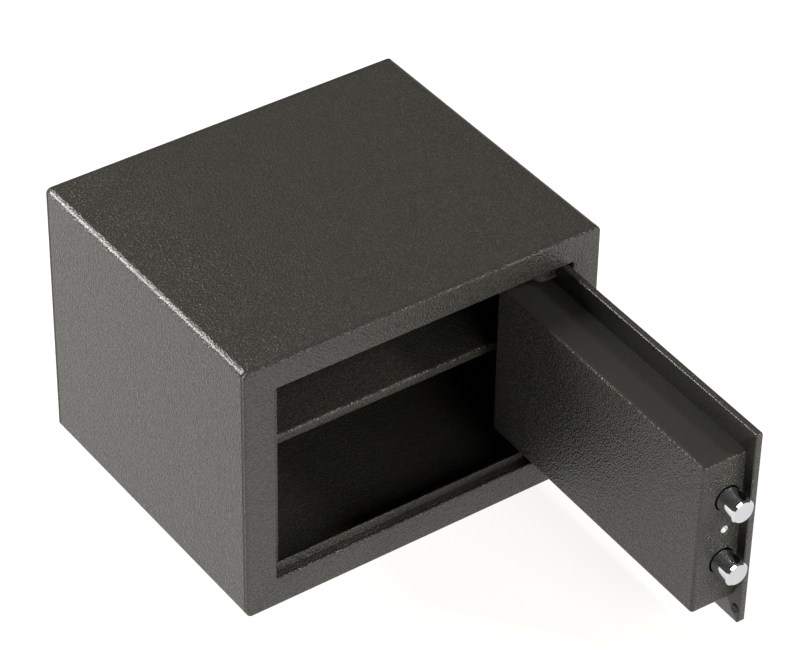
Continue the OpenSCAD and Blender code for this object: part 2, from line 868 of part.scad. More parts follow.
// Plate that holds the solenoid on the door
module solenoid_bracket() {
    color(steel) door_pose()
        translate([solenoid_x - solenoid_w/2 - solenoid_bracket_over, door_y1,
                solenoid_z1 - solenoid_h])
            cube([solenoid_w + 2*solenoid_bracket_over, solenoid_bracket_t, solenoid_h]);
}

// Solenoid with the bore that its plunger slides in
module solenoid_coil() {
    color(black) door_pose() difference() {
        translate([solenoid_x - solenoid_w/2, door_y1 + solenoid_bracket_t,
                solenoid_z1 - solenoid_h])
            cube([solenoid_w, solenoid_d, solenoid_h]);
        translate([solenoid_x, solenoid_y, solenoid_z1 - plunger_in - overrun])
            cylinder(r = plunger_r + running_fit, h = plunger_in + 2*overrun);
    }
}

// Plunger, drawn in, with the collar that its spring pushes
module plunger() {
    tip_z = lock_arm_z0 - plunger_gap;
    color(bright) door_pose() translate([solenoid_x, solenoid_y, solenoid_z1]) {
        translate([0, 0, -plunger_in])
            cylinder(r = plunger_r, h = plunger_in + tip_z - solenoid_z1);
        translate([0, 0, spring_len]) cylinder(r = collar_r, h = collar_t);
    }
}

// Coil spring as one tube swept along a helix
module coil_spring(mean_r, wire_r, length, turns) {
    rings = turns*spring_steps;
    rise = length - 2*wire_r;
    n = spring_sides;
    points = [for (i = [0:rings], j = [0:n - 1])
        let (a = 360*i/spring_steps, b = 360*j/n, reach = mean_r + wire_r*cos(b))
            [reach*cos(a), reach*sin(a), wire_r + rise*i/rings + wire_r*sin(b)]];
    sides = [for (i = [0:rings - 1], j = [0:n - 1])
        let (k = (j + 1) % n)
            [n*i + j, n*i + k, n*(i + 1) + k, n*(i + 1) + j]];
    triangles = [for (f = sides) each [[f[0], f[1], f[2]], [f[0], f[2], f[3]]]];
    start = [for (j = [n - 1:-1:0]) j];
    end = [for (j = [0:n - 1]) n*rings + j];
    polyhedron(points, concat(triangles, [start, end]));
}

module plunger_spring() {
    color(bright) door_pose() translate([solenoid_x, solenoid_y, solenoid_z1])
        coil_spring(spring_mean_r, spring_wire_r, spring_len, spring_turns);
}

// Keypad housing: windows for the keys, lights and battery lid, posts and bosses inside
module keypad_housing() {
    lid_z0 = keypad_d - lid_t;
    color(black) door_pose() on_front(keypad_x, door_mid_z) {
        difference() {
            soft_slab(keypad_w, keypad_h, keypad_d, keypad_r, keypad_edge_r);
            translate([0, 0, -overrun]) linear_extrude(front_in + overrun)
                rounded_rect(keypad_w - 2*keypad_wall, keypad_h - 2*keypad_wall,
                    keypad_r - keypad_wall);
            for (i = [0:11]) translate(key_place(i)) linear_extrude(keypad_d + overrun)
                rounded_rect(key_w + 2*key_gap, key_h + 2*key_gap, key_r + key_gap);
            for (x = [-1:1]) translate([x*led_spread, led_up, 0])
                cylinder(r = led_r + running_fit, h = keypad_d + overrun, $fn = 24);
            translate([0, -battery_down, lid_z0]) linear_extrude(lid_t + overrun)
                rounded_rect(lid_w + 2*loose_fit, lid_h + 2*loose_fit, lid_r + loose_fit);
            translate([0, -battery_down, 0]) linear_extrude(keypad_d)
                rounded_rect(lid_w - 2*lid_ledge, lid_h - 2*lid_ledge, lid_r);
        }
        for (x = [-1, 1], y = [board_top - post_in, post_in - board_bottom])
            translate([x*(board_w/2 - post_in), y, board_z1])
                cylinder(r = post_r, h = front_in - board_z1);
        for (p = keypad_screw_places) translate(p) difference() {
            union() {
                cylinder(r = boss_r, h = boss_h);
                translate([sign(p[0])*(boss_r + boss_wall_gap)/2, 0, boss_h/2])
                    cube([boss_wall_gap, boss_r, boss_h], center = true);
            }
            translate([0, 0, -overrun]) cylinder(r = m4_r + seat_fit, h = m4_bite + 2*overrun);
        }
    }
}

// Centre of a key on the housing's front, by its number from the top left
function key_place(i) = [(i % 3 - 1)*key_pitch_x, key_top_row - floor(i/3)*key_pitch_z, 0];

// Key with a dished top and a flange behind the housing's front
module key_cap(i) {
    top = keypad_d + key_proud;
    color(key_grey) door_pose() on_front(keypad_x, door_mid_z) translate(key_place(i))
        difference() {
            union() {
                translate([0, 0, flange_z0]) linear_extrude(key_flange_t)
                    rounded_rect(key_w + 2*key_flange, key_h + 2*key_flange, key_r);
                translate([0, 0, flange_z0]) linear_extrude(top - flange_z0)
                    rounded_rect(key_w, key_h, key_r);
            }
            translate([0, key_h, top + key_dish_r - key_dish]) rotate([90, 0, 0])
                cylinder(r = key_dish_r, h = 2*key_h, $fn = 96);
        }
}

// Rubber mat under the keys
module key_mat() {
    w = 2*key_pitch_x + key_w + 2*mat_margin;
    h = 3*key_pitch_z + key_h + 2*mat_margin;
    mid = key_top_row - 3*key_pitch_z/2;
    color(key_grey) door_pose() on_front(keypad_x, door_mid_z)
        translate([0, mid, mat_z1 - mat_t]) linear_extrude(mat_t) rounded_rect(w, h, mat_r);
}

// Circuit board that carries the mat and the lights
module circuit_board() {
    color(board_green) door_pose() on_front(keypad_x, door_mid_z)
        translate([-board_w/2, -board_bottom, board_z1 - board_t])
            cube([board_w, board_top + board_bottom, board_t]);
}

module status_leds() {
    color(led_red) door_pose() on_front(keypad_x, door_mid_z) for (x = [-1:1])
        translate([x*led_spread, led_up, board_z1])
            cylinder(r = led_r, h = keypad_d + led_proud - board_z1, $fn = 24);
}

// Block battery behind its lid
module battery() {
    color(bright) door_pose() on_front(keypad_x, door_mid_z)
        translate([0, -battery_down, 0]) linear_extrude(battery_d)
            rounded_rect(battery_w, battery_h, battery_r);
}

// Battery lid with finger grooves
module battery_lid() {
    color(black) door_pose() on_front(keypad_x, door_mid_z)
        translate([0, -battery_down, keypad_d - lid_t]) difference() {
            linear_extrude(lid_t) rounded_rect(lid_w, lid_h, lid_r);
            for (i = [-1:1]) translate([0, i*groove_pitch, lid_t])
                cube([groove_len, groove_w, 2*groove_depth], center = true);
        }
}

// Screws from behind the door into the keypad's bosses
module keypad_screws() {
    color(steel) door_pose() on_front(keypad_x, door_mid_z)
        for (p = keypad_screw_places) translate([p[0], p[1], -door_t]) {
            translate([0, 0, -m4_head_t]) cylinder(r = m4_head_r, h = m4_head_t);
            cylinder(r = m4_r, h = door_t + m4_bite);
        }
}

// Grommet round the cable hole behind the keypad
module cable_grommet() {
    outer_r = cable_r + grommet_wall;
    color(black) door_pose() on_front(keypad_x, door_mid_z) difference() {
        union() {
            translate([0, 0, -door_t]) cylinder(r = outer_r - seat_fit, h = door_t);
            translate([0, 0, -door_t - grommet_t])
                cylinder(r = outer_r + grommet_lip, h = grommet_t);
        }
        translate([0, 0, -door_t - grommet_t - overrun])
            cylinder(r = cable_r, h = door_t + grommet_t + 2*overrun);
    }
}

// Plate round the keyhole, with a boss for the cover's rivet
module key_rose() {
    boss_z1 = lock_rose_t + lock_flange_t + knob_gap/2;
    color(black) door_pose() on_front(lock_x, lock_z) difference() {
        union() {
            translate([0, lock_rose_up, 0]) linear_extrude(lock_rose_t)
                rounded_rect(lock_rose_w, lock_rose_h, lock_rose_r);
            translate([0, key_pivot_rise, 0]) cylinder(r = rivet_head_r, h = boss_z1);
        }
        translate([0, 0, -overrun])
            cylinder(r = cylinder_r + running_fit, h = lock_rose_t + 2*overrun);
        translate([0, 0, lock_rose_t])
            cylinder(r = lock_flange_r + running_fit, h = lock_flange_t + overrun);
        translate([0, key_pivot_rise, -overrun])
            cylinder(r = rivet_r + seat_fit, h = boss_z1 + 2*overrun);
    }
}

// Lock cylinder with a flanged nose
module lock_cylinder() {
    nose = lock_rose_t + lock_flange_t;
    color(bright) door_pose() on_front(lock_x, lock_z) difference() {
        union() {
            translate([0, 0, -lock_back]) cylinder(r = cylinder_r, h = lock_back + nose);
            translate([0, 0, lock_rose_t]) cylinder(r = lock_flange_r, h = lock_flange_t);
        }
        translate([0, 0, -lock_back - overrun])
            cylinder(r = plug_r + running_fit, h = lock_back + nose + 2*overrun);
    }
}

// Nut that clamps the lock cylinder to the door plate
module lock_nut() {
    color(steel) door_pose() on_front(lock_x, lock_z)
        translate([0, 0, -door_t - lock_nut_t]) difference() {
            cylinder(r = lock_nut_r, h = lock_nut_t, $fn = 6);
            translate([0, 0, -overrun])
                cylinder(r = cylinder_r + seat_fit, h = lock_nut_t + 2*overrun);
        }
}

// Plug with the keyhole
module lock_plug() {
    nose = lock_rose_t + lock_flange_t;
    color(bright) door_pose() on_front(lock_x, lock_z) difference() {
        translate([0, 0, -lock_back - plug_tail])
            cylinder(r = plug_r, h = lock_back + plug_tail + nose);
        translate([-keyhole_w/2, -keyhole_h/2, nose - keyhole_depth])
            cube([keyhole_w, keyhole_h, keyhole_depth + overrun]);
    }
}

// Cam on the plug's inner end
module lock_cam() {
    color(steel) door_pose() on_front(lock_x, lock_z)
        translate([0, 0, -lock_back - plug_tail - cam_t])
            rotate([0, 0, -90]) {
                cylinder(r = plug_r, h = cam_t);
                slot(cam_w/2, cam_len - cam_w/2, cam_t);
            }
}

// Drop-shaped cover that swings aside from the keyhole
module key_cover() {
    z0 = lock_rose_t + lock_flange_t + knob_gap;
    color(black) door_pose() on_front(lock_x, lock_z) translate([0, 0, z0]) difference() {
        linear_extrude(key_cover_t) hull() {
            circle(r = key_cover_r, $fn = 32);
            translate([0, key_pivot_rise]) circle(r = key_cover_small_r, $fn = 32);
        }
        translate([0, key_pivot_rise, -overrun])
            cylinder(r = rivet_r + running_fit, h = key_cover_t + 2*overrun);
    }
}

module key_cover_rivet() {
    z1 = lock_rose_t + lock_flange_t + knob_gap + key_cover_t + knob_gap/2;
    color(bright) door_pose() on_front(lock_x, lock_z) translate([0, key_pivot_rise, 0]) {
        cylinder(r = rivet_r, h = z1);
        translate([0, 0, z1]) cylinder(r = rivet_head_r, h = rivet_head_t);
    }
}

body_wrapper();
back_panel();
front_frame();
sill_strip();
head_strip();
strike_strip();
pivot_bracket_top();
pivot_bracket_bottom();
thrust_washers();
shelf();
shelf_rails();
door_plate();
lock_cover();
cover_blocks();
cover_screws();
corner_bumper();
door_arm_top();
door_arm_bottom();
pivot_pins();
bolt_guide();
guide_studs();
spindle_bush();
knob_rose();
keypad_housing();
key_mat();
circuit_board();
status_leds();
battery();
keypad_screws();
cable_grommet();
solenoid_bracket();
solenoid_coil();
plunger_spring();
lock_cylinder();
lock_nut();
key_rose();
key_cover_rivet();
bolt_carriage();
bolt_upper();
bolt_lower();
knob();
knob_spindle();
plunger();
key_cover();
lock_plug();
lock_cam();
battery_lid();
key_cap(0);  // key_1
key_cap(1);  // key_2
key_cap(2);  // key_3
key_cap(3);  // key_4
key_cap(4);  // key_5
key_cap(5);  // key_6
key_cap(6);  // key_7
key_cap(7);  // key_8
key_cap(8);  // key_9
key_cap(9);  // key_star
key_cap(10);  // key_0
key_cap(11);  // key_hash
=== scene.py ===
"""Looks of a small steel safe with its door open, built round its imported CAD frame."""

from __future__ import annotations

import json
import logging
import math
from dataclasses import dataclass, field
from enum import Enum
from typing import Callable, Iterable, NamedTuple

import bmesh
import bpy
from mathutils import Matrix, Vector

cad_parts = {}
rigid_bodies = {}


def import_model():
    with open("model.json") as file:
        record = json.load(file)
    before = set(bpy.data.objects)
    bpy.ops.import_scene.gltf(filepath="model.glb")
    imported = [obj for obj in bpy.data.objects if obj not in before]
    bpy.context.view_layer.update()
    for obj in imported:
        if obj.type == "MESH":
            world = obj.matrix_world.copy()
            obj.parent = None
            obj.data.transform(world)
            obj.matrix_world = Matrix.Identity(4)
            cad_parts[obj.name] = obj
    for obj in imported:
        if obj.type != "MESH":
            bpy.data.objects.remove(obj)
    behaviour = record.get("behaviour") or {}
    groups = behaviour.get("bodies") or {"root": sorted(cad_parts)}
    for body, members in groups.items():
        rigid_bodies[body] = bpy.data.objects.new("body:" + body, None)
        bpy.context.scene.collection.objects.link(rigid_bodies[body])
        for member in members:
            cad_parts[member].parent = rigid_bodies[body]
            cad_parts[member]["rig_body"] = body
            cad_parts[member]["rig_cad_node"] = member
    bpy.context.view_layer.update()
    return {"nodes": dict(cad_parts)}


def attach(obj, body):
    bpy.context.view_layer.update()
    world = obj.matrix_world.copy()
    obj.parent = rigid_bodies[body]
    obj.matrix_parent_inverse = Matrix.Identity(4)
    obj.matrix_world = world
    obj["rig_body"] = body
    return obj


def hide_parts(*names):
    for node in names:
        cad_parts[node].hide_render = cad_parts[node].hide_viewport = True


log = logging.getLogger("safe")

MM = 0.001
MERGE = 0.002 * MM
DOOR_OPEN = math.radians(88.6)
PIVOT = Vector((0.1277, -0.1324, 0.0))
# Row X and Z of the keypad's and the knob's middles with the door shut
KEYPAD = (0.051515, 0.129)
KNOB = (-0.05517, 0.132)
NODE_STEP = 180
# The least share of a unit vector that counts as straight, and the angles of sharp edges
STRAIGHT = 0.9
SHARP = math.radians(34.0)
SHARP_ROUNDED = math.radians(60.0)

Names = tuple[str, ...]
Pair = tuple[float, float]
Triple = tuple[float, float, float]
Color = Triple
Socket = bpy.types.NodeSocket
Piece = bpy.types.Object


class Slot(str, Enum):
    """The record's material slots."""

    HAMMERTONE = "hammertone"
    ZINC = "zinc_steel"
    CHROME = "chrome"
    BRASS = "brass"
    RUBBER = "rubber"
    BLACK_PLASTIC = "black_plastic"
    COIL = "coil_black"
    BOARD = "board_green"
    LED = "led_red"
    BATTERY = "battery_case"
    KEY = "key_grey"


class Body(str, Enum):
    """The CAD bodies that new pieces ride on, apart from the keys."""

    CABINET = "cabinet"
    DOOR = "door"
    KNOB = "turn_knob"
    LID = "lid"


class Pick(str, Enum):
    """What is selected in edit mode."""

    FACES = "FACE"
    EDGES = "EDGE"
    POINTS = "VERT"


class Axis(str, Enum):
    """The direction of a weld."""

    ACROSS = "X"
    UP = "Z"


# Node tools

class NodeSheet:
    """Builds the nodes of one material or group in a few words."""

    def __init__(self, tree: bpy.types.NodeTree) -> None:
        """Starts on an empty or cleared node tree.

        Args:
            tree: The node tree to fill.
        """
        self.tree = tree
        self.column = 0

    def put(self, value: object, into: Socket) -> None:
        """Links a socket to an input, or else sets the input's own value.

        Args:
            value: A socket, or the value.
            into: The input.
        """
        if isinstance(value, Socket):
            self.tree.links.new(value, into)
        else:
            into.default_value = value

    def add(self, kind: str, **settings: object) -> bpy.types.Node:
        """Adds a node with its properties and inputs.

        Args:
            kind: The node's type name.
            **settings: Properties, or inputs in lower case with underscores, as values or sockets.

        Returns:
            The new node.
        """
        node = self.tree.nodes.new(kind)
        node.location = (self.column * NODE_STEP, 0)
        self.column += 1
        for name, value in settings.items():
            if hasattr(node, name):
                setattr(node, name, value)
            else:
                self.put(value, node.inputs[name.replace("_", " ").title()])
        return node

    def math(self, operation: str, a: object, b: object = 0.0, clamp: bool = False) -> Socket:
        """Adds a math node.

        Args:
            operation: The math operation.
            a: A socket or number.
            b: A socket or number.
            clamp: Whether the result stays between zero and one.

        Returns:
            The result socket.
        """
        node = self.add("ShaderNodeMath", operation=operation, use_clamp=clamp)
        for socket, value in zip(node.inputs, (a, b)):
            self.put(value, socket)
        return node.outputs[0]

    def vector(self, operation: str, a: object, b: object) -> bpy.types.Node:
        """Adds a vector math node.

        Args:
            operation: The vector operation.
            a: A socket or three numbers.
            b: A socket or three numbers.

        Returns:
            The node.
        """
        node = self.add("ShaderNodeVectorMath", operation=operation)
        self.put(a, node.inputs[0])
        self.put(b, node.inputs[1])
        return node

    def less(self, mask: Socket, share: float) -> Socket:
        """Gives one where a mask is zero and one minus the share where it is one."""
        return self.math("SUBTRACT", 1.0, self.math("MULTIPLY", mask, share))

    def more(self, value: object, mask: Socket, share: float) -> Socket:
        """Adds a share of a mask to a value."""
        return self.math("ADD", value, self.math("MULTIPLY", mask, share))

    def ramp(self, factor: Socket, low: float, high: float) -> Socket:
        """Maps a range of a value to zero and one, smoothly.

        Args:
            factor: The value.
            low: The value that gives zero.
            high: The value that gives one.

        Returns:
            The mapped value.
        """
        return self.add("ShaderNodeMapRange", interpolation_type="SMOOTHSTEP", value=factor,
                        from_min=low, from_max=high).outputs["Result"]

    def mix_color(self, factor: Socket, a: object, b: object) -> Socket:
        """Mixes two colours.

        Args:
            factor: The share of the second colour.
            a: A colour or colour socket.
            b: A colour or colour socket.

        Returns:
            The mixed colour.
        """
        node = self.add("ShaderNodeMix", data_type="RGBA", factor=factor)
        for socket, value in zip(node.inputs[6:8], (a, b)):
            self.put(value if isinstance(value, Socket) else (*value, 1.0), socket)
        return node.outputs[2]


class GroupSheet(NodeSheet):
    """The nodes of a shared shader group, between its own inputs and outputs."""

    def __init__(self, name: str, numbers: dict[str, float], results: Names,
                 vectors: Names = ("Vector",)) -> None:
        """Starts a group with its sockets.

        Args:
            name: The group's name.
            numbers: Its number inputs and their defaults.
            results: Its outputs, all numbers.
            vectors: Its vector inputs, which come first.
        """
        super().__init__(bpy.data.node_groups.new(name, "ShaderNodeTree"))
        face = self.tree.interface
        for label in vectors:
            face.new_socket(label, in_out="INPUT", socket_type="NodeSocketVector")
        for label, default in numbers.items():
            socket = face.new_socket(label, in_out="INPUT", socket_type="NodeSocketFloat")
            socket.default_value = default
        for label in results:
            face.new_socket(label, in_out="OUTPUT", socket_type="NodeSocketFloat")
        self.given = self.tree.nodes.new("NodeGroupInput").outputs
        self.results = self.tree.nodes.new("NodeGroupOutput").inputs

    def noise(self, scale: object, detail: float) -> bpy.types.Node:
        """Adds a noise texture at the group's Vector.

        Args:
            scale: Its scale, a number or socket.
            detail: Its number of octaves.

        Returns:
            The node.
        """
        return self.add("ShaderNodeTexNoise", vector=self.given["Vector"], scale=scale,
                        detail=detail)


@dataclass
class Effects:
    """The shader groups that several finishes share."""

    warp_scale: float = 420.0
    broad: Pair = (260.0, 0.55)
    fine: Pair = (1700.0, 0.18)
    cell_softness: float = 0.35
    pits: Pair = (0.15, 0.6)
    slow_scale: float = 38.0
    seam_wander: float = 1.8 * MM
    bend_blend: float = 0.35

    def __post_init__(self) -> None:
        """Builds every group once."""
        self.leather = self._leather()
        self.specks = self._specks()
        self.grain = self._grain()
        self.seam = self._seam()
        self.painted_shade_plane = self._painted_shade_plane()

    def _leather(self) -> bpy.types.NodeTree:
        """Builds the wrinkled skin of hammertone powder coat.

        Returns:
            A group whose outputs are a height and a cell mask.
        """
        sheet = GroupSheet("hammer_skin", {"Scale": 700.0, "Warp": 0.5 * MM}, ("Height", "Pits"))
        warp = sheet.noise(self.warp_scale, 2.0).outputs["Color"]
        centred = sheet.vector("SUBTRACT", warp, (0.5, 0.5, 0.5)).outputs[0]
        shift = sheet.vector("MULTIPLY", centred, sheet.given["Warp"]).outputs[0]
        moved = sheet.vector("ADD", sheet.given["Vector"], shift).outputs[0]
        cells = sheet.add("ShaderNodeTexVoronoi", feature="SMOOTH_F1", vector=moved,
                          smoothness=self.cell_softness, scale=sheet.given["Scale"])
        height = cells.outputs["Distance"]
        for (scale, share), detail in ((self.broad, 3.0), (self.fine, 2.0)):
            height = sheet.more(height, sheet.noise(scale, detail).outputs["Fac"], share)
        sheet.put(height, sheet.results["Height"])
        sheet.put(sheet.ramp(cells.outputs["Distance"], *self.pits), sheet.results["Pits"])
        return sheet.tree

    def _specks(self) -> bpy.types.NodeTree:
        """Builds sparse small specks of dust.

        Returns:
            A group whose output is a mask.
        """
        sheet = GroupSheet("dust_specks", {"Scale": 240.0, "Share": 0.1}, ("Mask",))
        cells = sheet.add("ShaderNodeTexVoronoi", feature="F1", vector=sheet.given["Vector"],
                          scale=sheet.given["Scale"])
        near = sheet.math("LESS_THAN", cells.outputs["Distance"], sheet.given["Share"])
        sheet.put(near, sheet.results["Mask"])
        return sheet.tree

    def _grain(self) -> bpy.types.NodeTree:
        """Builds the fine even grain of moulded plastic and blasted metal.

        Returns:
            A group whose outputs are a height and a slow variation.
        """
        sheet = GroupSheet("fine_grain", {"Scale": 2500.0}, ("Height", "Variation"))
        sheet.put(sheet.noise(sheet.given["Scale"], 3.0).outputs["Fac"], sheet.results["Height"])
        sheet.put(sheet.noise(self.slow_scale, 4.0).outputs["Fac"], sheet.results["Variation"])
        return sheet.tree

    def _seam(self) -> bpy.types.NodeTree:
        """Builds masks of the front and rear seams and of the wrapper's long bends.

        Returns:
            A group whose outputs are a mask of the seams and one of the long bends.
        """
        sheet = GroupSheet("joint_seams", {"Front": -0.1, "Back": 0.1, "Half Width": 1.0 * MM,
                                           "Side": 0.175, "Middle": 0.1275, "Bend": 5.0 * MM},
                           ("Mask", "Bends"))
        given = sheet.given
        parts = sheet.add("ShaderNodeSeparateXYZ", vector=given["Vector"]).outputs
        ragged = sheet.noise(self.warp_scale, 2.0).outputs["Fac"]
        shift = sheet.math("MULTIPLY", sheet.math("SUBTRACT", ragged, 0.5), self.seam_wander)
        along = sheet.math("ADD", parts["Y"], shift)
        seams = []
        for side in ("Front", "Back"):
            far = sheet.math("ABSOLUTE", sheet.math("SUBTRACT", along, given[side]))
            share = sheet.math("DIVIDE", far, given["Half Width"])
            seams.append(sheet.math("SUBTRACT", 1.0, share, clamp=True))
        sheet.put(sheet.math("MAXIMUM", *seams), sheet.results["Mask"])
        outward = sheet.math("ABSOLUTE", parts["X"])
        upward = sheet.math("ABSOLUTE", sheet.math("SUBTRACT", parts["Z"], given["Middle"]))
        blend = sheet.math("MULTIPLY", given["Bend"], self.bend_blend)
        corners = []
        for reach, half in ((outward, given["Side"]), (upward, given["Middle"])):
            past = sheet.math("SUBTRACT", reach, sheet.math("SUBTRACT", half, given["Bend"]))
            corners.append(sheet.math("DIVIDE", past, blend, clamp=True))
        sheet.put(sheet.math("MULTIPLY", *corners), sheet.results["Bends"])
        return sheet.tree

    def _painted_shade_plane(self) -> bpy.types.NodeTree:
        """Builds a mask of all that lies past a plane, where a door coat is smoother and duller
        and carries painted shade.

        Returns:
            A group whose output is a mask.
        """
        sheet = GroupSheet("painted_shade_past_plane", {"Start": 0.0, "Blend": 1.0 * MM}, ("Mask",),
                           ("Vector", "Normal"))
        given = sheet.given
        along = sheet.vector("DOT_PRODUCT", given["Vector"], given["Normal"]).outputs["Value"]
        past = sheet.math("SUBTRACT", along, given["Start"])
        mask = sheet.math("DIVIDE", past, given["Blend"], clamp=True)
        sheet.put(mask, sheet.results["Mask"])
        return sheet.tree


# Finishes

class Skin(NamedTuple):
    """What a pattern gives the shader: its colour, roughness and bump height."""

    shade: Socket
    rough: Socket
    height: Socket


@dataclass(frozen=True)
class Coat:
    """A material in the making."""

    sheet: NodeSheet
    place: Socket
    effects: Effects

    def effect(self, tree: bpy.types.NodeTree, **inputs: object) -> dict[str, Socket]:
        """Adds a shared effect at the object coordinates.

        Args:
            tree: The effect's group.
            **inputs: Its inputs, named as in NodeSheet.add.

        Returns:
            Its outputs by name.
        """
        return self.sheet.add("ShaderNodeGroup", node_tree=tree, vector=self.place,
                              **inputs).outputs


@dataclass(frozen=True)
class Finish:
    """A finish with constants for its shader; sub-classes change its pattern."""

    name: str
    color: Color
    slot: Slot
    roughness: float = 0.5
    metallic: float = 0.0
    specular: float = 0.5
    shades: Pair = (0.88, 1.12)
    rough_span: Pair = (-0.06, 0.12)
    strength: float = 0.06
    depth: float = 0.06 * MM

    def tint(self, share: float) -> Color:
        """Gives the finish's colour made darker or lighter."""
        return tuple(min(1.0, c * share) for c in self.color)

    def material(self, effects: Effects) -> bpy.types.Material:
        """Makes the Blender material.

        Args:
            effects: The shared shader groups.

        Returns:
            The material.
        """
        material = bpy.data.materials.new(self.name)
        material.use_nodes = True
        material.node_tree.nodes.clear()
        sheet = NodeSheet(material.node_tree)
        shader = sheet.add("ShaderNodeBsdfPrincipled", roughness=self.roughness,
                           metallic=self.metallic, base_color=(*self.color, 1.0))
        shader.inputs["Specular IOR Level"].default_value = self.specular
        sheet.add("ShaderNodeOutputMaterial", surface=shader.outputs[0])
        place = sheet.add("ShaderNodeTexCoord").outputs["Object"]
        skin = self.pattern(Coat(sheet, place, effects))
        bump = sheet.add("ShaderNodeBump", strength=self.strength, distance=self.depth)
        sheet.put(skin.height, bump.inputs["Height"])
        for name, socket in (("Base Color", skin.shade), ("Roughness", skin.rough),
                             ("Normal", bump.outputs[0])):
            sheet.put(socket, shader.inputs[name])
        material.diffuse_color = (*self.color, 1.0)
        return material

    def pattern(self, coat: Coat) -> Skin:
        """Adds the finish's pattern, here a fine grain.

        Args:
            coat: The material in the making.

        Returns:
            The skin that the pattern makes.
        """
        grain = coat.effect(coat.effects.grain)
        shade = coat.sheet.mix_color(grain["Variation"], *map(self.tint, self.shades))
        rough = coat.sheet.more(self.roughness + self.rough_span[0], grain["Variation"],
                                self.rough_span[1])
        return Skin(shade, rough, grain["Height"])


@dataclass(frozen=True)
class HammerPaint(Finish):
    """Powder coat with a wrinkled, softly shining skin."""

    color: Color = (0.037, 0.0363, 0.0295)
    slot: Slot = Slot.HAMMERTONE
    roughness: float = 0.25
    specular: float = 0.44
    # Colour shares on the wrinkle crests and in the pits: painted highlight and painted shade of
    # the relief
    shades: Pair = (1.35, 0.6)
    rough_span: Pair = (-0.05, 0.12)
    strength: float = 1.0
    depth: float = 0.75 * MM
    scale: float = 600.0
    cloud: float = 0.08
    cloud_range: Pair = (0.3, 0.7)
    dust: float = 0.35
    dust_share: float = 0.045
    dust_color: Color = (0.22, 0.215, 0.2)

    def pattern(self, coat: Coat) -> Skin:
        """Adds wrinkles, painted highlight on crests, painted shade in pits, faint clouds and a
        few dust specks.

        Args:
            coat: The material in the making.

        Returns:
            The skin that the pattern makes.
        """
        sheet, effects = coat.sheet, coat.effects
        wrinkles = coat.effect(effects.leather, scale=self.scale)
        grain = coat.effect(effects.grain)
        dust = coat.effect(effects.specks, share=self.dust_share)
        # Crests are tinted lighter and pits darker: painted highlight and painted shade of the
        # wrinkles
        painted_crest_highlight, painted_pit_shade = map(self.tint, self.shades)
        shade = sheet.mix_color(wrinkles["Pits"], painted_crest_highlight, painted_pit_shade)
        cloud = sheet.ramp(grain["Variation"], *self.cloud_range)
        shade = sheet.mix_color(sheet.math("MULTIPLY", cloud, self.cloud), shade, painted_crest_highlight)
        shade = sheet.mix_color(sheet.math("MULTIPLY", dust["Mask"], self.dust), shade,
                                self.dust_color)
        rough = sheet.more(self.roughness + self.rough_span[0], wrinkles["Pits"],
                           self.rough_span[1])
        return self.places(coat, Skin(shade, rough, wrinkles["Height"]))

    def places(self, coat: Coat, skin: Skin) -> Skin:
        """Changes the skin in some places; the plain coat has none.

        Args:
            coat: The material in the making, not used here.
            skin: Its plain skin.

        Returns:
            The changed skin.
        """
        return skin


@dataclass(frozen=True)
class SeamPaint(HammerPaint):
    """The coat on the shell, with painted shade and a sunk groove along its seams, and smoother on
    its bends.
    """

    seams: Pair = (-0.1462, 0.1462)
    half_width: float = 1.8 * MM
    bend: float = 5.0 * MM
    bend_calm: float = 0.66
    seam_painted_shade: float = 0.25
    seam_dull: float = 0.45
    seam_depth: float = 0.8

    def places(self, coat: Coat, skin: Skin) -> Skin:
        """Paints shade into both seams, sinks them and calms the wrinkles on the bends.

        Args:
            coat: The material in the making.
            skin: Its plain skin.

        Returns:
            The changed skin.
        """
        sheet = coat.sheet
        seam = coat.effect(coat.effects.seam, front=self.seams[0], back=self.seams[1],
                           half_width=self.half_width, bend=self.bend)
        calm = sheet.math("MULTIPLY", skin.height, sheet.less(seam["Bends"], self.bend_calm))
        # The seams' colour is darkened as painted shade in the groove between the frame and the
        # wrapper
        return Skin(sheet.mix_color(seam["Mask"], skin.shade, self.tint(self.seam_painted_shade)),
                    sheet.more(skin.rough, seam["Mask"], self.seam_dull),
                    sheet.more(calm, seam["Mask"], -self.seam_depth))


@dataclass(frozen=True)
class PaintedShadePaint(HammerPaint):
    """The coat on a piece of the door, thinner and smoother past a plane, with shade painted into
    its colour there.

    The plane has a normal, and starts at a distance from the origin along it, in metres.
    """

    normal: Triple = (0.0, 0.0, 1.0)
    start: float = 0.0
    blend: float = 1.0 * MM
    calm: float = 0.6
    # The share of the colour past the plane, which paints shade there
    shade: float = 1.0
    dull: float = 0.3

    def places(self, coat: Coat, skin: Skin) -> Skin:
        """Calms and dulls the coat past the plane, and darkens it there as painted shade.

        Args:
            coat: The material in the making.
            skin: Its plain skin.

        Returns:
            The changed skin.
        """
        sheet = coat.sheet
        side = coat.effect(coat.effects.painted_shade_plane, normal=self.normal, start=self.start,
                           blend=self.blend)["Mask"]
        # The colour past the plane is darkened: painted shade
        return Skin(sheet.mix_color(side, skin.shade, self.tint(self.shade)),
                    sheet.more(skin.rough, side, self.dull),
                    sheet.math("MULTIPLY", skin.height, sheet.less(side, self.calm)))


